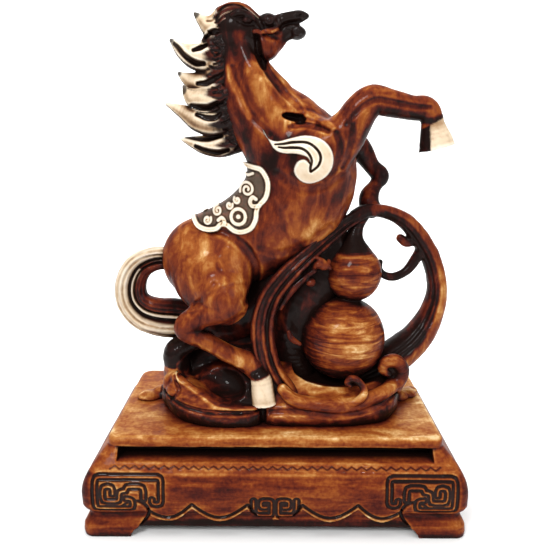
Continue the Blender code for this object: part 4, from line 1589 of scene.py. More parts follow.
def softened(path: list[Point2], radius: float) -> list[Point2]:
    """A square path with its corners cut round.

    Args:
        path: The path's corners.
        radius: How much of its sides a corner takes, at most.

    Returns:
        The path.
    """
    result = [path[0]]
    for before, corner, after in zip(path, path[1:], path[2:]):
        into, out = Vector(corner) - Vector(before), Vector(after) - Vector(corner)
        start = Vector(corner) - into.normalized() * min(radius, 0.45 * into.length)
        end = Vector(corner) + out.normalized() * min(radius, 0.45 * out.length)
        result += [tuple(start), tuple(0.5 * Vector(corner) + 0.25 * (start + end)), tuple(end)]
    return [*result, path[-1]]


def ring(centre: Point2, radius: float, half_width: float) -> list[Point3]:
    """Stations of a stroke around a circle."""
    angles = [math.radians(30 * k) for k in range(13)]
    return [(centre[0] + radius * math.cos(a), centre[1] + radius * math.sin(a), half_width) for a in angles]


def spiral(centre: Point2, radius: float, turns: float, start: float, half_width: float) -> list[Point3]:
    """A curl that winds in towards its centre.

    Args:
        centre: Its centre.
        radius: Its outer radius.
        turns: How often it goes round, negative for clockwise.
        start: The angle at which it starts, in degrees.
        half_width: Half width of the stroke.

    Returns:
        Stations of a stroke.
    """
    steps = max(6, int(abs(turns) * 10))
    stations = []
    for k in range(steps + 1):
        share = k / steps
        angle = math.radians(start) + share * turns * 2 * math.pi
        reach = radius * (1 - 0.82 * share)
        across, up = reach * math.cos(angle), reach * math.sin(angle)
        stations.append((centre[0] + across, centre[1] + up, half_width))
    return stations


@dataclass
class SaddleCloth(RaisedOrnament):
    """Saddle cloth over the back: an ivory band with curls around a rosette and cloud scrolls."""

    name: str = "saddle_cloth"
    low: Point3 = (-80, -42, 134)
    high: Point3 = (2, 42, 204)
    step: float = 0.55
    lacquer: Lacquer = Lacquer("cloth_lacquer", (140, 140, 140), grain=0.25, speckle=2.6, wear_and_light=0.68)
    ground: float = 0.16
    edge: list[Point2] = field(default_factory=lambda: CLOTH_EDGE)
    band: float = 3.9

    def __post_init__(self) -> None:
        """Draws the curls, the rosette and the scrolls."""
        rosette = (-27.8, 154.1)
        lines = [
            [(-12.4, 162.6, 1), (-17.4, 162, 1), (-19.3, 165, 1), (-17.6, 168, 1), (-15, 167, 0.8)],
            [(-38.6, 147.4, 0.9), (-37.8, 150.4, 0.9), (-40.2, 152.6, 0.9), (-42.6, 151, 0.8)],
            ring(rosette, 5.3, 0.75),
            [(*rosette, 1.1), (rosette[0] + 0.1, rosette[1], 1.1)],
            spiral((-21.7, 173.2), 5.6, -1.6, 200, 0.55),
            [(-26.5, 186, 0.5), (-22, 183.2, 0.6), (-17.5, 184.5, 0.5)],
            spiral((-29, 165.4), 2.6, 1.1, 150, 0.5),
            spiral((-34.8, 161.4), 2.6, -1.1, 20, 0.5),
            spiral((-43.6, 157.4), 3.6, 1.4, 100, 0.5),
            spiral((-51, 150.8), 3, -1.3, 30, 0.5),
            [(-57.5, 156, 0.4), (-53.5, 157.6, 0.6), (-50, 161, 0.4)],
            [(-44, 165.5, 0.4), (-39, 167, 0.6), (-36, 171.5, 0.4)],
            [(-33.5, 175.5, 0.4), (-30, 178.5, 0.6), (-29.5, 183, 0.4)],
        ]
        self.beads = [Stroke(line, 1.1, 0.9) for line in lines]

    def relief(self, across: Array, up: Array, inside: Array) -> Array:
        """The beads, and the band along the edge with a groove inside it."""
        band = falling(inside, self.band, 0.9) * rising(inside, -0.2, 0.8)
        return super().relief(across, up, inside) + band

    def paint(self, brush: Brushwork, points: Array, normals: Array) -> None:
        """Ivory on what stands out, dark brown on the ground."""
        across, up = points[:, 0], points[:, 2]
        inside = self.inward(across, up)
        drawn = sum(bead.relief(across, up) for bead in self.beads)
        band = falling(inside, self.band, 0.8)
        wear_and_light = 0.10 + 0.78 * smooth_step(drawn / 0.9)
        brush.ivory = np.clip(wear_and_light + band * rising(inside, -0.2, 0.8), 0, 1)
        brush.line = 0.85 * smooth_step(1 - np.abs(inside - self.band - 0.7) / 0.8) * (drawn < 0.4)


@dataclass
class ShoulderFlame(RaisedOrnament):
    """The comma-shaped flame on each shoulder, with two grooves that follow its curve."""

    name: str = "shoulder_flame"
    low: Point3 = (-16, -44, 174)
    high: Point3 = (44, 44, 220)
    step: float = 0.5
    lacquer: Lacquer = Lacquer("flame_lacquer", (60, 140, 140), grain=0.2, gloss=0.36, wear_and_light=0.70)
    ground: float = 0.2
    edge: list[Point2] = field(default_factory=lambda: FLAME_EDGE)
    base: float = 1.9

    def __post_init__(self) -> None:
        """Draws the two grooves."""
        outer = [
            (-1.5, 205.2, 0.1), (4, 205.6, 0.35), (11.4, 206.8, 0.4), (20.4, 206.6, 0.4),
            (26.6, 202.4, 0.4),
        ]
        outer += [(29.2, 197.2, 0.4), (27.8, 191.7, 0.4), (23.3, 187.6, 0.3)]
        inner = [(1, 203.4, 0.1), (5, 203, 0.35), (11, 203.2, 0.4), (16.4, 202.8, 0.4), (20.8, 199.9, 0.4)]
        inner += [(23.2, 195.2, 0.4), (22.6, 190.6, 0.4), (22.6, 187.6, 0.2)]
        self.beads = [Stroke(outer, -1.3, 0.9), Stroke(inner, -1.3, 0.9)]

    def paint(self, brush: Brushwork, points: Array, normals: Array) -> None:
        """Ivory, with ink in the grooves."""
        across, up = points[:, 0], points[:, 2]
        drawn = sum(bead.relief(across, up) for bead in self.beads)
        brush.ivory = smooth_step((self.inward(across, up) + 0.3) / 0.8)
        brush.line = 0.92 * smooth_step(-drawn / 0.9 - 0.15)


@dataclass
class Gourd(CastPiece):
    """The gourd of two bulbs, and the neck that runs up into the vine."""

    name: str = "gourd"
    low: Point3 = (14, -44, 14)
    high: Point3 = (94, 34, 168)
    step: float = 0.8
    lacquer: Lacquer = Lacquer("gourd_lacquer", (38, 38, 240), grain=0.52, twist=1)
    ground: float = 0.48

    def model(self, clay: Clay) -> Clay:
        """Two bulbs with a tight waist, and a thin neck."""
        clay.add(Ball((52.5, -6, 57), (33, 31.5, 33)))
        clay.add(Ball((59.5, -4, 108.5), (21.5, 21, 22)), 2)
        neck = [(59.5, -4, 122, 12.5), (59, -2, 134, 7.2), (61.5, 0, 144.4, 4.8), (67.5, 2, 153.4, 4.2)]
        clay.add(Limb(neck), 5)
        return clay.roughen(0.3, 9, 47)

    def paint(self, brush: Brushwork, points: Array, normals: Array) -> None:
        """Golden streaks on the bulbs, with painted light on their fronts and painted shade towards their
        edges and bottom, and a dark neck.
        """
        tone = brush.tone
        # Painted light on the front of the lower bulb, and a little on the upper one.
        brush.airbrush(
            points,
            (0.17, (56, -34, 64), (24, 26, 20), 0, 0.7),
            (0.02, (60, -24, 108), (16, 20, 12), 0, 0.7),
        )
        # Painted shade on the left of the lower bulb, towards the bottom and on the right. The neck is dark.
        tone -= 0.24 * falling(points[:, 0], 40, 18) * (points[:, 2] < 90)
        tone -= 0.12 * falling(points[:, 2], 44, 14)
        tone -= 0.45 * rising(points[:, 2], 124, 8)
        tone -= 0.18 * rising(points[:, 0], 74, 10)


@dataclass
class Vine(CastPiece):
    """The long leaf up the belly, the arch around the gourd, and their tendrils."""

    name: str = "vine"
    low: Point3 = (-66, -48, -1)
    high: Point3 = (140, 32, 168)
    step: float = 0.8
    lacquer: Lacquer = Lacquer("vine_lacquer", (110, 110, 50), grain=0.40)
    ground: float = 0.25
    leaf: tuple = (
        (11, -30, 16, 9.5), (-2, -30, 35, 9.3), (-9, -28, 56, 9), (-9.8, -27, 77.6, 8.9),
        (-4.6, -26, 95, 8.1), (6.3, -24, 110, 7.4), (21, -20, 124, 6.6),
        (37.4, -14, 137.5, 5.9), (52, -6, 147.6, 5.3), (66, 0, 155, 4.6),
    )
    arch: tuple = (
        (60, 0, 152, 5.2), (68, 1, 156, 5), (82.7, 3, 155.2, 5), (99.5, 6, 147.5, 6.3),
        (113, 8, 132.5, 7.3), (123.5, 10, 114.5, 7.5), (128.7, 10, 93, 8), (125.5, 10, 72, 9.8),
        (116, 8, 54.5, 12), (103, 6, 42, 13.5), (88, 4, 32, 14), (70, 2, 22, 13),
    )

    def model(self, clay: Clay) -> Clay:
        """Leaf with raised rims, arch with long grooves, tendrils, knobs and twigs."""
        backing = [(16, 2, 20, 17), (10, 4, 42, 20), (16, 5, 72, 24), (29, 4, 98, 22), (45, 2, 125, 13)]
        under_belly = [
            (-46, 4, 62, 16), (-30, 4, 68, 17), (-12, 2, 84, 17),
            (4, 0, 104, 16), (24, 0, 124, 13), (45, 0, 141, 9),
        ]
        clay.add(Limb(backing, 0.8)).add(Limb(under_belly, 0.8), 4)
        filler = [(x, y + 3, z, 0.75 * r) for x, y, z, r in self.leaf]
        clay.add(Limb(filler), 1.5)
        for aside, share in ((0.70, 0.28), (-0.70, 0.30), (0.34, 0.20), (-0.06, 0.26)):
            clay.add(Limb(strand(list(self.leaf), aside, share), 2), 0.8)
        clay.add(Limb(list(self.arch), 1.1), 2)
        tendril = [
            (113.5, 8, 124, 4.6), (106.6, 7, 113, 4), (101, 6, 107, 3.6), (92.8, 5, 103.6, 3.3),
            (84.9, 4, 105, 3), (80.5, 3, 110.2, 2.6), (80.8, 3, 115.8, 2.3),
        ]
        bud = [(109, 8, 134.5, 5.2), (101.5, 7, 131, 4.1), (96.4, 7, 134, 3.3)]
        clay.add(Limb(tendril), 2).add(Limb(bud), 2)
        knot = [(27, -20, 115, 1.6), (31, -23, 119.5, 3), (35.5, -22, 117.5, 2.6), (38.6, -20, 121, 1.8)]
        frill = [(30, -22, 124, 1.4), (34, -23, 121.5, 2.2), (39.5, -21, 116, 1.6)]
        twigs = [(18.2, -24, 57.6, 1.6), (12, -25, 62, 2.2), (9.5, -25, 67.5, 1.6)]
        stem = [(3, -24, 86, 2), (10, -24, 98, 2.6), (19, -22, 107, 2.4), (28, -20, 114, 2)]
        for twig in (knot, frill, twigs, stem):
            clay.add(Limb(twig), 0.8)
        clay.add(Ball((25.4, -21, 105.2), (3.6, 4, 3.2)), 0.8)
        for aside in (-0.5, -0.1):
            path = [(x, z, 0.4) for x, z in beside(self.arch, aside)[2:]]
            clay.score(Stroke(path, -0.9, 1.6))
        return clay.roughen(0.25, 5, 53).flatten(0.4)

    def paint(self, brush: Brushwork, points: Array, normals: Array) -> None:
        """Deep red-brown, lighter on the rims, with painted shade nearly black behind the gourd, and painted
        light on the arch's outer side and painted shade on its inner side.
        """
        tone = brush.tone
        x, y, z = points.T
        front = rising(-y, 14, 6)
        for aside in (0.70, 0.34, -0.06, -0.70):
            tone += 0.12 * streak(points, beside(self.leaf, aside), 0.3, 1.3) * front
        tone += 0.20 * blob(points, (8, -34, 22), (9, 12, 16), 20, 0.6)
        tone -= 0.07 * front * rising(z, 36, 20) * (x < 60)
        # Painted shade, nearly black, in the recess behind the gourd.
        tone -= 0.42 * rising(y, -18, 8) * rising(x, 4, 10) * (x < 86) * (z < 132) * (y < 12)
        # Painted light on the arch's outer side, fading above, and painted shade on its inner side, darkest
        # low down.
        outer, inner = [streak(points, beside(self.arch, aside)[2:10], 3, 3.4) for aside in (0.50, -0.6)]
        wear_and_light = 0.10 + 0.28 * falling(z, 120, 30)
        tone += 0.06 * (x > 92) * rising(z, 60, 20) + wear_and_light * outer - 0.20 * inner
        tone -= 0.26 * rising(x, 82, 12) * falling(z, 66, 14) * (1 - outer)
        tone -= 0.22 * rising(z, 146, 5) * falling(x, 78, 10)
        tendril = [(108, 118), (101, 107), (92.8, 103.6), (80.5, 110), (80.8, 116)]
        tone -= 0.34 * streak(points, tendril, 3.4, 1.5)
        tone += 0.22 * blob(points, (33, -24, 119), (8, 8, 6), 0, 0.5)


@dataclass
class Rock(CastPiece):
    """The ingot under the hooves, the bowl of rock under the gourd, and its curls."""

    name: str = "rock"
    low: Point3 = (-120, -54, -1)
    high: Point3 = (124, 46, 72)
    step: float = 0.75
    lacquer: Lacquer = Lacquer("rock_lacquer", (60, 110, 120), grain=0.42, twist=1.2)
    ground: float = 0.53

    def model(self, clay: Clay) -> Clay:
        """Low walls and rims around hollows, and curls at their ends."""
        foot = [(-64, -2, 2, 26), (-30, -3, 2, 37), (10, -3, 2, 37), (50, -3, 2, 38), (71, -4, 3, 28)]
        rim_wall = [
            (2, -31, 5, 14), (33, -32, 8, 15.5), (58, -31, 9, 15.5),
            (77, -25, 9, 14.5), (83, -8, 12, 15), (78, 12, 12, 16),
        ]
        boat_wall = [
            (-74, -14, 15, 15), (-66, -26, 12, 16), (-53, -32, 8, 15.5), (-38, -34, 4, 14.5),
            (-22, -34.5, 2, 13),
        ]
        back_wall = [
            (-66, 8, 24, 18), (-50, 10, 38, 17), (-34, 10, 46, 16), (-12, 10, 40, 18), (2, 8, 24, 18),
        ]
        clay.add(Limb(foot)).add(Limb(rim_wall), 3).add(Limb(back_wall, 0.9), 4)
        clay.add(Ball((48, -2, 10), (46, 34, 16)), 3)
        clay.add(Limb(boat_wall), 1)
        clay.carve(Ball((-48, -36, 35), (28, 21, 15.5), -28), 2)
        clay.carve(Ball((-15, -46, 30), (14, 16, 14)), 2)
        clay.carve(Ball((50, -12, 34), (38, 26, 12)), 2)
        rim = [
            (5, -38, 27, 4), (14, -41, 20, 5.2), (33, -42, 16.5, 5.6), (55, -40.5, 17, 5.6),
            (76, -35, 20.5, 5.6), (89, -24, 23, 6), (94, -8, 26, 6.5),
        ]
        boat_rim = [
            (-78, -24, 31, 4), (-73, -31, 31.5, 3.4), (-64, -36, 27, 3), (-54, -39.5, 21.5, 2.6),
            (-44, -42, 15.8, 2.4), (-30, -43.5, 13, 2.2), (-15, -43, 13.5, 2.2),
        ]
        face = [
            (-74, -27, 20, 10), (-63, -32, 16, 11), (-50, -35.5, 11, 10.5), (-36, -38, 7.5, 8.5),
            (-18, -38, 6.5, 8),
        ]
        clay.add(Limb(face), 2)
        block = [(-81, -20, 12, 7.5), (-80, -21, 26, 7)]
        horn = [
            (-77, -6, 22, 12), (-78.5, -8, 35, 10), (-78.2, -8, 46, 9.5), (-68, -8, 52, 7),
            (-55, -6, 55.5, 6),
        ]
        front_curl = [(44, -43, 17.5, 2.2), (57, -44, 19.2, 2.8), (64.5, -43, 24, 3), (65.2, -40, 29, 2.8)]
        front_curl += [
            (61.5, -38.5, 33.6, 2.9), (56.5, -38.5, 36.2, 2.7), (53.2, -39, 33, 2.2),
            (56, -39.5, 30.4, 1.5),
        ]
        back_curl = [(92, -22, 22, 5.5), (97, -20, 29, 5.5), (97.5, -20, 36.5, 5.6), (92, -21, 43, 5.6)]
        back_curl += [(84.5, -22, 42.5, 5), (82.4, -22.5, 37, 3.8), (86.5, -23, 33.5, 2.6)]
        clay.add(Ball((89, -17, 36), (8, 6, 8)), 1)
        for centre, radii in (
            ((-104.5, 3, 0), (9.5, 8, 5.6)), ((-93, 9, 0), (11, 9, 8)),
            ((109.5, 11, 0), (8.5, 8, 6.4)), ((101, 5, 0), (9, 8, 8.5)), ((115, 18, 0), (6, 6, 4)),
        ):
            clay.add(Ball(centre, radii), 1.5)
        clay.add(Limb(rim), 2).add(Limb(boat_rim), 3).add(Limb(block), 2).add(Limb(horn, 1.5), 1.5)
        clay.add(Limb(front_curl), 1).add(Limb(back_curl), 1)
        ledge = [(-84, 19.5, 0.6), (-66.5, 14.5, 0.9), (-45, 11.6, 0.9), (-24, 11, 0.9), (-12, 12, 0.4)]
        skirt = [(-4, 10, 0.5), (20, 12, 0.7), (45, 10, 0.7), (70, 13, 0.7), (92, 19, 0.5)]
        notch = [(-76.5, 33, 0.6), (-74.6, 28.5, 1), (-72.6, 23.5, 0.7), (-79, 16.5, 0.3)]
        end_wall = [(-9.5, 0, 0.6), (-9.2, 10, 1), (-10, 15, 0.5)]
        near = Side.NEAR
        clay.score(
            Stroke(ledge, -1.6, 1.6, near), Stroke(skirt, -1.2, 2.6, near),
            Stroke(notch, -1.2, 1.4, near), Stroke(end_wall, -2.6, 2.2, near),
        )
        return clay.roughen(0.3, 6, 61).flatten(0.4)

    def paint(self, brush: Brushwork, points: Array, normals: Array) -> None:
        """Golden on top, with painted light where the front faces up. Maroon below, with painted shade in the
        scoop and nearly black painted shade under the gourd, and painted highlights along the rim and the
        horn's inner edge.
        """
        tone = brush.tone
        x, y, z = points.T
        ledge = [
            (-90, 24), (-82, 19), (-66, 14), (-45, 11), (-24, 10.6), (-10, 11),
            (0, 12), (20, 9), (45, 6), (70, 10), (100, 22),
        ]
        low = np.interp(x, *zip(*ledge))
        band = smooth_step((low - z) / 1.2 + 0.5)
        tone -= 0.36 * band * (x < -10) + 0.18 * band * (x >= -10) * smooth_step((x - 58) / 16 + 0.4)
        tone -= 0.16 * falling(z, 6, 5) + 0.14 * rising(x, 60, 16) * falling(z, 22, 6)
        # Painted light where the front faces up.
        tone += 0.10 * rising(normals[:, 2], 0.2, 0.6) * (y < -20)
        rim = [
            (-90, 36), (-76, 36), (-74, 32.5), (-64, 27.5), (-54, 22), (-44, 15.8), (-30, 13.4),
            (-12, 13.6),
        ]
        above = z - np.interp(x, *zip(*rim))
        rim_y = np.interp(x, [-78, -73, -64, -54, -44, -30], [-24, -31, -36, -39.5, -42, -43.5])
        behind = smooth_step((y - rim_y - 2) / 2) * rising(x, -77, 3)
        in_scoop = np.maximum(smooth_step(above / 1.2), behind) * falling(x, -8, 3)
        # Painted shade in the scoop, deepest low on the right and towards the horn.
        tone -= 0.34 * in_scoop + 0.22 * in_scoop * blob(points, (-30, -30, 24), (14, 30, 12), -20, 0.7)
        tone -= 0.30 * in_scoop * smooth_step((-66 + 0.9 * (z - 40) - x) / 3)
        # Painted highlight along the horn's inner edge.
        inner = [(-74, 33), (-75.6, 39.9), (-65.2, 47.7), (-52, 52.4)]
        tone += 0.34 * streak(points, inner, 0.3, 1.2)
        tone -= 0.05 * smooth_step(-above / 3) * smooth_step((z - low) / 4) * (x < -12) * (y < -20)
        # Painted shade, nearly black, under the gourd.
        tone -= 0.42 * rising(y, -26, 10) * rising(x, 4, 12) * (y < 24)
        # Painted highlight along the rim's edge.
        tone += 0.22 * streak(points, [(-74, 33), (-64, 28), (-54, 22), (-44, 15.5), (-16, 13.5)], 0.5, 1.6)
        # The flat stones beside the rock are tan.
        stone = (np.abs(x) > 95) * falling(z, 11, 3)
        tone += stone * (0.44 - tone + 0.16 * rising(normals[:, 2], 0.4, 0.4))
        # The front curl, and then the knob that the rim ends in, are darker, with black eyes.
        curl = blob(points, (59.5, -38, 34), (9, 9, 8), 0, 0.3)
        tone -= 0.34 * curl * (z > 24)
        tone -= 0.55 * blob(points, (58, -38, 32.6), (2.6, 9, 2), 0, 0.5)
        knob = blob(points, (90, -20, 37), (14, 14, 12), 0, 0.3)
        tone -= 0.24 * knob * rising(x, 88, 8) - 0.10 * knob * rising(z, 40, 4)
        tone -= 0.60 * blob(points, (88.5, -22, 35.4), (3.4, 14, 3.4), 20, 0.5)


@dataclass
class Plinth(CastPiece):
    """The footed plinth: a rounded platform with a slot, frets, scalloped apron and carved feet."""

    name: str = "carved_plinth"
    low: Point3 = (-141, -81, -2)
    high: Point3 = (141, 81, 72)
    step: float = 0.62
    adaptivity: float = 0.02
    node: str = PLINTH_NODE
    slot: str = "plinth_lacquer"
    lift: float = 0.0
    lacquer: Lacquer = Lacquer("plinth_lacquer", (34, 70, 190), grain=0.32, speckle=1, coat=0.05)
    ground: float = 0.60
    fine: float = 1.4
    # Only a little painted light from above on the plinth.
    painted_top_light: float = 0.02
    height: float = 70.0
    length: float = 245.0
    depth: float = 125.0
    corner_radius: float = 8.0
    lip: float = 7.5
    lip_rounding: float = 4.0
    belly: float = 16.5
    belly_top: float = 31.4
    belly_bottom: float = 24.0
    tuck: float = 12.0
    foot_flare: float = 16.5
    foot_height: float = 15.6
    foot_width: float = 35.0
    slot_height: float = 8.0
    slot_end_wall: float = 9.0
    slot_depth: float = 12.0
    floor_gap: float = 6.2
    rail: float = 12.2
    scallop_top: float = 24.0
    scallop_bottom: float = 13.5
    drop_half_width: float = 19.5
    skin: float = 0.3
    fret_depth: float = 1.5
    bead_height: float = 1.4
    groove_rise: float = 3.0

    def side_profile(self) -> list[Point2]:
        """(height, outward offset) up the plinth's side."""
        shoulder = self.height - self.lip
        rise = self.belly_bottom - self.foot_height
        profile = [
            (0, self.foot_flare - 0.5),
            (self.foot_height * 0.25, self.foot_flare - 0.1),
            (self.foot_height * 0.55, self.foot_flare - 0.6),
            (self.foot_height, self.tuck),
            (self.foot_height + 0.25 * rise, self.tuck + 0.5),
            (self.belly_bottom - 0.35 * rise, self.belly - 1.3),
            (self.belly_bottom, self.belly - 0.1),
        ]
        for step in range(12):
            share = step / 11
            bulge = (self.belly - 0.1) * math.cos(0.5 * math.pi * share**1.12)
            profile.append((self.belly_top + share * (shoulder - self.belly_top), bulge))
        for step in range(9):
            angle = 0.5 * math.pi * step / 8
            inward = self.lip_rounding * (1 - math.cos(angle))
            profile.append((self.height - self.lip_rounding * (1 - math.sin(angle)), -inward))
        return profile

    def shell(self, x: Array, y: Array, z: Array, sunk: float) -> Array:
        """Distances to the plinth's outer form.

        Args:
            x: Across.
            y: Away.
            z: Up.
            sunk: How deep the form is sunk on its sides.

        Returns:
            The distances, negative inside.
        """
        heights, offsets = zip(*self.side_profile())
        offset = np.interp(z, heights, offsets) - sunk
        across = np.abs(x) - (0.5 * self.length + offset - self.corner_radius)
        away = np.abs(y) - (0.5 * self.depth + offset - self.corner_radius)
        beyond = np.sqrt(np.maximum(across, 0) ** 2 + np.maximum(away, 0) ** 2)
        flat = beyond + np.minimum(np.maximum(across, away), 0) - self.corner_radius
        return np.maximum(np.maximum(flat, z - self.height), -z)

    def foot_edge(self, half_gap: float) -> list[Point2]:
        """The curved inner edge of a foot, from the apron's edge down to the floor."""
        edge = [(-14, 19), (-12.5, 15), (-8, 9.5), (-3.1, 5.3), (-0.8, 2), (0, -3)]
        return [(half_gap + across, up) for across, up in edge]

    def apron_edge(self, half_gap: float, drop: float, lobes: int) -> list[Point2]:
        """The scalloped lower edge of an apron, from its middle to a foot.

        Args:
            half_gap: Half the gap between the feet.
            drop: Half width of the drop in the middle, or 0.
            lobes: Number of scallops.

        Returns:
            The edge's corners.
        """
        sag = self.scallop_top - self.scallop_bottom
        last = self.foot_edge(half_gap)[0]
        cusps = [(drop, self.scallop_top)]
        for lobe in range(1, lobes):
            cusps.append((drop + (last[0] - drop) * lobe * 1.12 / lobes, self.scallop_top))
        cusps.append(last)
        edge = [(0.7 * drop, 15.5)] if drop else []
        for start, end in zip(cusps, cusps[1:]):
            level = sag + (start[1] + end[1]) / 2 - self.scallop_top
            for step in range(10):
                share = step / 10
                up = start[1] + share * (end[1] - start[1]) - level * math.sin(math.pi * share)
                edge.append((start[0] + share * (end[0] - start[0]), up))
        return edge + [last]

    def model(self, clay: Clay) -> Clay:
        """The shell with its slot, rails, aprons, frets and roughened surface."""
        _, (x, y, z) = clay.window(clay.low, clay.low + clay.step * clay.counts)
        clay.distance = np.clip(self.shell(x, y, z, self.skin), -clay.margin, clay.margin).astype(np.float32)
        shoulder = self.height - self.lip
        slot_half = 0.5 * self.length - self.slot_end_wall
        corners = [(-slot_half, shoulder - self.slot_height), (slot_half, shoulder - self.slot_height)]
        corners += [(slot_half, shoulder), (-slot_half, shoulder)]
        clay.carve(Board(corners, -90, -0.5 * self.depth + self.slot_depth), 0.5)
        for length, depth, turned, drop, lobes in (
            (self.length, self.depth, False, self.drop_half_width, 2),
            (self.depth, self.length, True, 0, 1),
        ):
            self.carve_side(clay, length, depth, turned, drop, lobes)
        self.carve_frets(clay)
        return clay.roughen(0.22, 9, 71).flatten(0)

    def carve_side(
        self, clay: Clay, length: float, depth: float, turned: bool, drop: float, lobes: int
    ) -> None:
        """Sets the rail in between two feet, hangs the apron and opens the gap at the floor.

        Args:
            clay: The plinth's block.
            length: Length of this pair of sides.
            depth: Distance between them.
            turned: Whether they run along Y.
            drop: As for apron_edge.
            lobes: As for apron_edge.
        """
        half_gap = 0.5 * length + self.foot_flare - self.foot_width
        right = self.foot_edge(half_gap)
        rail = [(-a, up) for a, up in reversed(right)] + right
        edge = self.apron_edge(half_gap, drop, lobes)
        board = [(-a, up) for a, up in reversed(edge) if a > 0] + edge
        board = [(-edge[-1][0], self.belly_top), *board, (edge[-1][0], self.belly_top)]
        floor = [(a, up) for a, up in right if up < self.floor_gap]
        floor = [(floor[0][0] - 0.8, self.floor_gap), *floor]
        gap = [(-a, up) for a, up in reversed(floor)] + floor
        recess = 0.5 * depth + self.rail
        face = 0.5 * depth + self.belly - 0.4
        beyond = 0.5 * depth + 40
        for side in (-1, 1):
            start, end = sorted((side * recess, side * beyond))
            clay.carve(Board(rail, start, end, turned), 0.5)
        for side in (-1, 1):
            start, end = sorted((side * face, side * 0.5 * depth))
            clay.add(Board(board, start, end, turned), 0.4)
        clay.carve(Board(gap, -beyond, beyond, turned), 0.5)
        groove = [(a, up + self.groove_rise, 0.5) for a, up in edge if a > 0]
        for sign in (-1, 1):
            stroke = Stroke([(sign * a, up, r) for a, up, r in groove], -1.5, 1, smooth=False)
            self.score_board(clay, stroke, turned, face)

    @staticmethod
    def score_board(clay: Clay, stroke: Stroke, turned: bool, face: float) -> None:
        """Draws a groove on both aprons of a pair.

        Args:
            clay: The plinth's block.
            stroke: The groove.
            turned: Whether the aprons run along Y.
            face: How far out their faces are.
        """
        low, high = stroke.bounds()
        for side in (-1, 1):
            start, end = sorted((side * (face - 4), side * (face + 4)))
            corners = [(start, low[0], low[1]), (end, high[0], high[1])]
            if not turned:
                corners = [(across, deep, up) for deep, across, up in corners]
            part, (x, y, z) = clay.window(*corners)
            clay.distance[part] -= stroke.relief(y if turned else x, z).astype(np.float32)

    def apron_marks(self, x: Array, y: Array, z: Array) -> tuple[Array, Array]:
        """Where the paint follows the aprons.

        Args:
            x: Across.
            y: Away.
            z: Up.

        Returns:
            Shares of the painted highlight along the edge, and of the dark groove above it.
        """
        light, dark = np.zeros(len(x)), np.zeros(len(x))
        outer = self.shell(x, y, z, self.skin) > -1.6
        for length, away, across, drop, lobes in (
            (self.length, 0.5 * self.depth, (y, x), self.drop_half_width, 2),
            (self.depth, 0.5 * self.length, (x, y), 0, 1),
        ):
            edge = self.apron_edge(0.5 * length + self.foot_flare - self.foot_width, drop, lobes)
            picked = outer & (np.abs(across[0]) > away + self.rail) & (z < 32)
            picked &= np.abs(across[1]) < edge[-1][0] + 2
            side, up = np.abs(across[1][picked]), z[picked]
            for coat, rise, width in ((dark, self.groove_rise, 0.9), (light, 0.8, 0.5)):
                path = [(a, level + rise, width) for a, level in edge if a > 0]
                laid = Stroke(path, 1, 0.8, smooth=False).relief(side, up)
                coat[picked] = np.maximum(coat[picked], laid)
        return light, dark

    def fret_strokes(self) -> tuple[list[Stroke], list[Stroke]]:
        """The grounds of the frets as grooves, and the lines left standing in them."""
        lines = []
        corner = 0.5 * self.length + self.belly - 8.6
        frame_line = [(20.6, 4.4), (20.6, 2.9), (23.6, 2.9), (23.6, 10.6), (1.4, 10.6)]
        frame_line += [(1.4, 1.4), (14, 1.4), (14, 4.6), (11.8, 4.6)]
        inner_line = [(17.8, 4.6), (17.8, 8.2), (12, 8.2), (12, 6.9), (9.6, 6.9)]
        inner_line += [(9.6, 3.7), (4, 3.7), (4, 8.2), (7.4, 8.2), (7.4, 6)]
        hook = [(6, 8), (10, 8), (10, 13.4), (2.4, 13.4), (2.4, 1.8), (13, 1.8), (15.2, 4), (15.2, 13.4)]
        for side in (-1, 1):
            for path in (frame_line, inner_line):
                placed = [(side * (corner - a * 2.1), 19.3 + up * 2.5) for a, up in path]
                lines.append(softened(placed, 3))
            lines.append(softened([(side * a, 16.5 + up) for a, up in hook], 1.8))
        grounds, beads = [
            [
                Stroke([(a, up, width) for a, up in path], height, 0.8, Side.NEAR, smooth=False)
                for path in lines
            ]
            for width, height in ((2.5, -self.fret_depth), (0.1, self.bead_height))
        ]
        swirl = [(-112, 22.6, 0.2), (-104.7, 27.6, 0.6), (-97.3, 29.4, 0.8), (-91.6, 26, 0.8)]
        swirl += [(-89.8, 20.4, 0.8), (-91.8, 14, 0.6), (-96.5, 9, 0.2)]
        for side in (-1, 1):
            turned = [(-side * a, up, r) for a, up, r in swirl]
            grounds.append(Stroke(turned, -self.fret_depth, 0.9, Side.NEAR))
        return grounds, beads

    def zigzag(self) -> Stroke:
        """The incised zigzag under the slot."""
        half = 0.5 * self.length - 5
        count = int(2 * half / 3.5)
        ups = [51.6 + (0.9 if k % 2 else -0.9) for k in range(count + 1)]
        path = [(-half + 2 * half * k / count, up, 0.05) for k, up in enumerate(ups)]
        return Stroke(path, -0.6, 0.7, Side.NEAR, smooth=False)

    def carve_frets(self, clay: Clay) -> None:
        """Cuts the frets, the zigzag and the line under it into the front.

        Args:
            clay: The plinth's block.
        """
        grounds, beads = self.fret_strokes()
        part, (x, y, z) = clay.window(clay.low, clay.low + clay.step * clay.counts)
        front = smooth_step(-y / 3 - 18)
        ground = np.zeros(np.broadcast_shapes(x.shape, z.shape))
        for stroke in grounds:
            ground = np.minimum(ground, stroke.relief(x, z))
        standing = np.zeros_like(ground)
        for stroke in beads:
            standing = np.maximum(standing, stroke.relief(x, z))
        ridge_line = Stroke([(-118, 47.6, 0.3), (118, 47.6, 0.3)], 0.5, 1.4, smooth=False).relief(x, z)
        height = ground + standing + self.zigzag().relief(x, z) + ridge_line
        clay.distance -= (height * front).astype(np.float32)

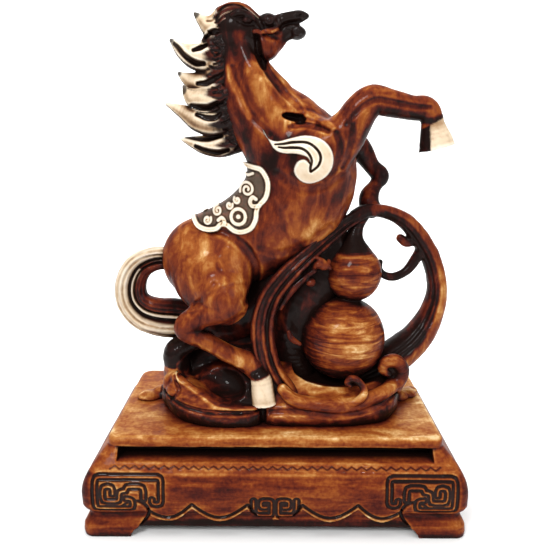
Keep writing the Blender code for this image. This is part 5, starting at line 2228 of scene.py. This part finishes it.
    def paint(self, brush: Brushwork, points: Array, normals: Array) -> None:
        """Tan above, orange-brown on the belly, maroon rail and corners, ink in the frets and the zigzag,
        nearly black in the slot, painted shadow and painted light on the top, and painted highlights along
        the aprons' edges and the ridge under the zigzag.
        """
        x, y, z = points.T
        tone = brush.tone
        front = rising(-y, 60, 3)
        grounds, beads = self.fret_strokes()
        drawn = np.zeros(len(points))
        near = (y < -66) & (z < 52) & (z > 7)
        across, up = x[near], z[near]
        for stroke in grounds:
            drawn[near] = np.maximum(drawn[near], -stroke.relief(across, up) / self.fret_depth)
        for stroke in beads:
            drawn[near] -= 1.3 * stroke.relief(across, up) / self.bead_height
        brush.line = np.clip(0.95 * drawn, 0, 1) * front
        zig = np.zeros(len(points))
        strip = (y < -60) & (z > 47) & (z < 56)
        zig[strip] = -self.zigzag().relief(x[strip], z[strip])
        brush.line = np.maximum(brush.line, 0.9 * np.clip(zig / 0.7, 0, 1))
        shoulder = self.height - self.lip
        in_slot = (z < shoulder + 0.6) & (z > shoulder - self.slot_height - 0.2) & (np.abs(x) < 115.5)
        deep = in_slot * smooth_step((y + 0.5 * self.depth + 2) / 3) * (y < -40)
        brush.line = np.maximum(brush.line, 0.97 * deep)
        edge = smooth_step((np.abs(x) - 0.5 * self.length - 2) / 10)
        tone -= 0.22 * edge * (z > 18)
        tone -= 0.10 * falling(z, 52, 5) * (z > 14)
        top = rising(z, 67, 2)
        # The top is lighter. On it are a painted shadow to the left, beside the ingot, and painted light to
        # the right, beside the rock.
        tone += 0.15 * rising(z, 69, 1) - 0.06 * top * falling(x, -84, 20)
        tone += 0.10 * top * rising(x, 70, 24)
        sunk = smooth_step((-self.shell(x, y, z, self.skin) - 1.4) / 1) * (z < 30)
        tone -= 0.40 * sunk
        edge_highlight, apron = self.apron_marks(x, y, z)
        brush.line = np.maximum(brush.line, 0.95 * apron)
        # Painted highlight along the aprons' lower edges.
        tone += 0.14 * edge_highlight
        # Painted highlight on the ridge under the zigzag.
        tone += 0.10 * falling(np.abs(z - 48.6), 2, 2) * front
        tone -= 0.08 * (z < 17)


def arrange_studio() -> None:
    """Pale paper floor that curves up behind, and soft light from the front and above."""
    paper = StudioPaper().material()
    reach, back, bend = 3.0, 1.3, 0.5
    profile = [(-reach, 0.0), (0.0, 0.0), (back, 0.0)]
    for step in range(1, 13):
        angle = 0.5 * math.pi * step / 12
        profile.append((back + bend * math.sin(angle), bend * (1.0 - math.cos(angle))))
    profile.append((back + bend, 3.0))
    vertices = [(side * reach, y, z) for y, z in profile for side in (-1, 1)]
    faces = [(2 * k, 2 * k + 1, 2 * k + 3, 2 * k + 2) for k in range(len(profile) - 1)]
    mesh = bpy.data.meshes.new("paper_sweep")
    mesh.from_pydata(vertices, [], faces)
    mesh.polygons.foreach_set("use_smooth", np.ones(len(faces), bool))
    mesh.materials.append(paper)
    sweep = bpy.data.objects.new("paper_sweep", mesh)
    bpy.context.scene.collection.objects.link(sweep)
    for name, place, aim, size, power in (
        ("key_light", (-0.55, -1.05, 1.25), (0.0, 0.0, 0.2), 0.4, 11.5),
        ("glint_light", (0.25, -1.2, 1.0), (0.0, 0.0, 0.2), 0.05, 1.5),
        ("fill_light", (1.1, -1.0, 0.8), (0.0, 0.0, 0.2), 0.9, 3.5),
        ("top_light", (0.0, -0.05, 1.7), (0.0, 0.0, 0.1), 1.4, 17.0),
        ("backdrop_light", (0.0, 0.55, 1.3), (0.0, 1.9, 0.5), 1.2, 26.0),
    ):
        lamp = bpy.data.lights.new(name, "AREA")
        lamp.shape = "DISK"
        lamp.size = size
        lamp.energy = power
        stand = bpy.data.objects.new(name, lamp)
        stand.location = place
        stand.visible_glossy = size < 1.0
        stand.rotation_euler = (Vector(aim) - Vector(place)).to_track_quat("-Z", "Y").to_euler()
        bpy.context.scene.collection.objects.link(stand)
    world = bpy.data.worlds.new("studio_air")
    world.use_nodes = True
    world.node_tree.nodes["Background"].inputs["Color"].default_value = (1.0, 1.0, 0.99, 1.0)
    world.node_tree.nodes["Background"].inputs["Strength"].default_value = 0.46
    bpy.context.scene.world = world
    bpy.context.scene.view_settings.view_transform = "Standard"


def place_camera() -> None:
    """The camera that was worked out from the plinth's edges in the photograph."""
    yaw, pitch, roll = -0.0004, 0.2397, 0.0064
    focal, width, sensor = 577.24, 550.0, 36.0
    forward = Vector((-math.sin(yaw) * math.cos(pitch), math.cos(yaw) * math.cos(pitch), -math.sin(pitch)))
    right = Vector((math.cos(yaw), math.sin(yaw), 0.0))
    up = right.cross(forward)
    turned_right = math.cos(roll) * right + math.sin(roll) * up
    turned_up = math.cos(roll) * up - math.sin(roll) * right
    view = Matrix((turned_right, turned_up, -forward)).transposed().to_4x4()
    view.translation = Vector((-0.0012, -0.4368, 0.2823))
    data = bpy.data.cameras.new("camera")
    data.sensor_width = sensor
    data.lens = focal * sensor / width
    data.clip_start = 0.01
    camera = bpy.data.objects.new("camera", data)
    camera.matrix_world = view
    bpy.context.scene.collection.objects.link(camera)
    bpy.context.scene.camera = camera


def main() -> None:
    """Models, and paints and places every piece."""
    logging.basicConfig(level=logging.INFO, format="%(name)s: %(message)s")
    place_camera()
    pieces: list[CastPiece] = [
        Horse(), Mane(), Tail(), Gourd(), Vine(), Rock(), SaddleCloth(), ShoulderFlame(), Plinth(),
    ]
    around = Surroundings([(piece.modelled(), piece.lift) for piece in pieces])
    for piece in pieces:
        piece.cast(around)
    arrange_studio()
    bpy.context.view_layer.update()


if __name__ == "__main__":
    main()
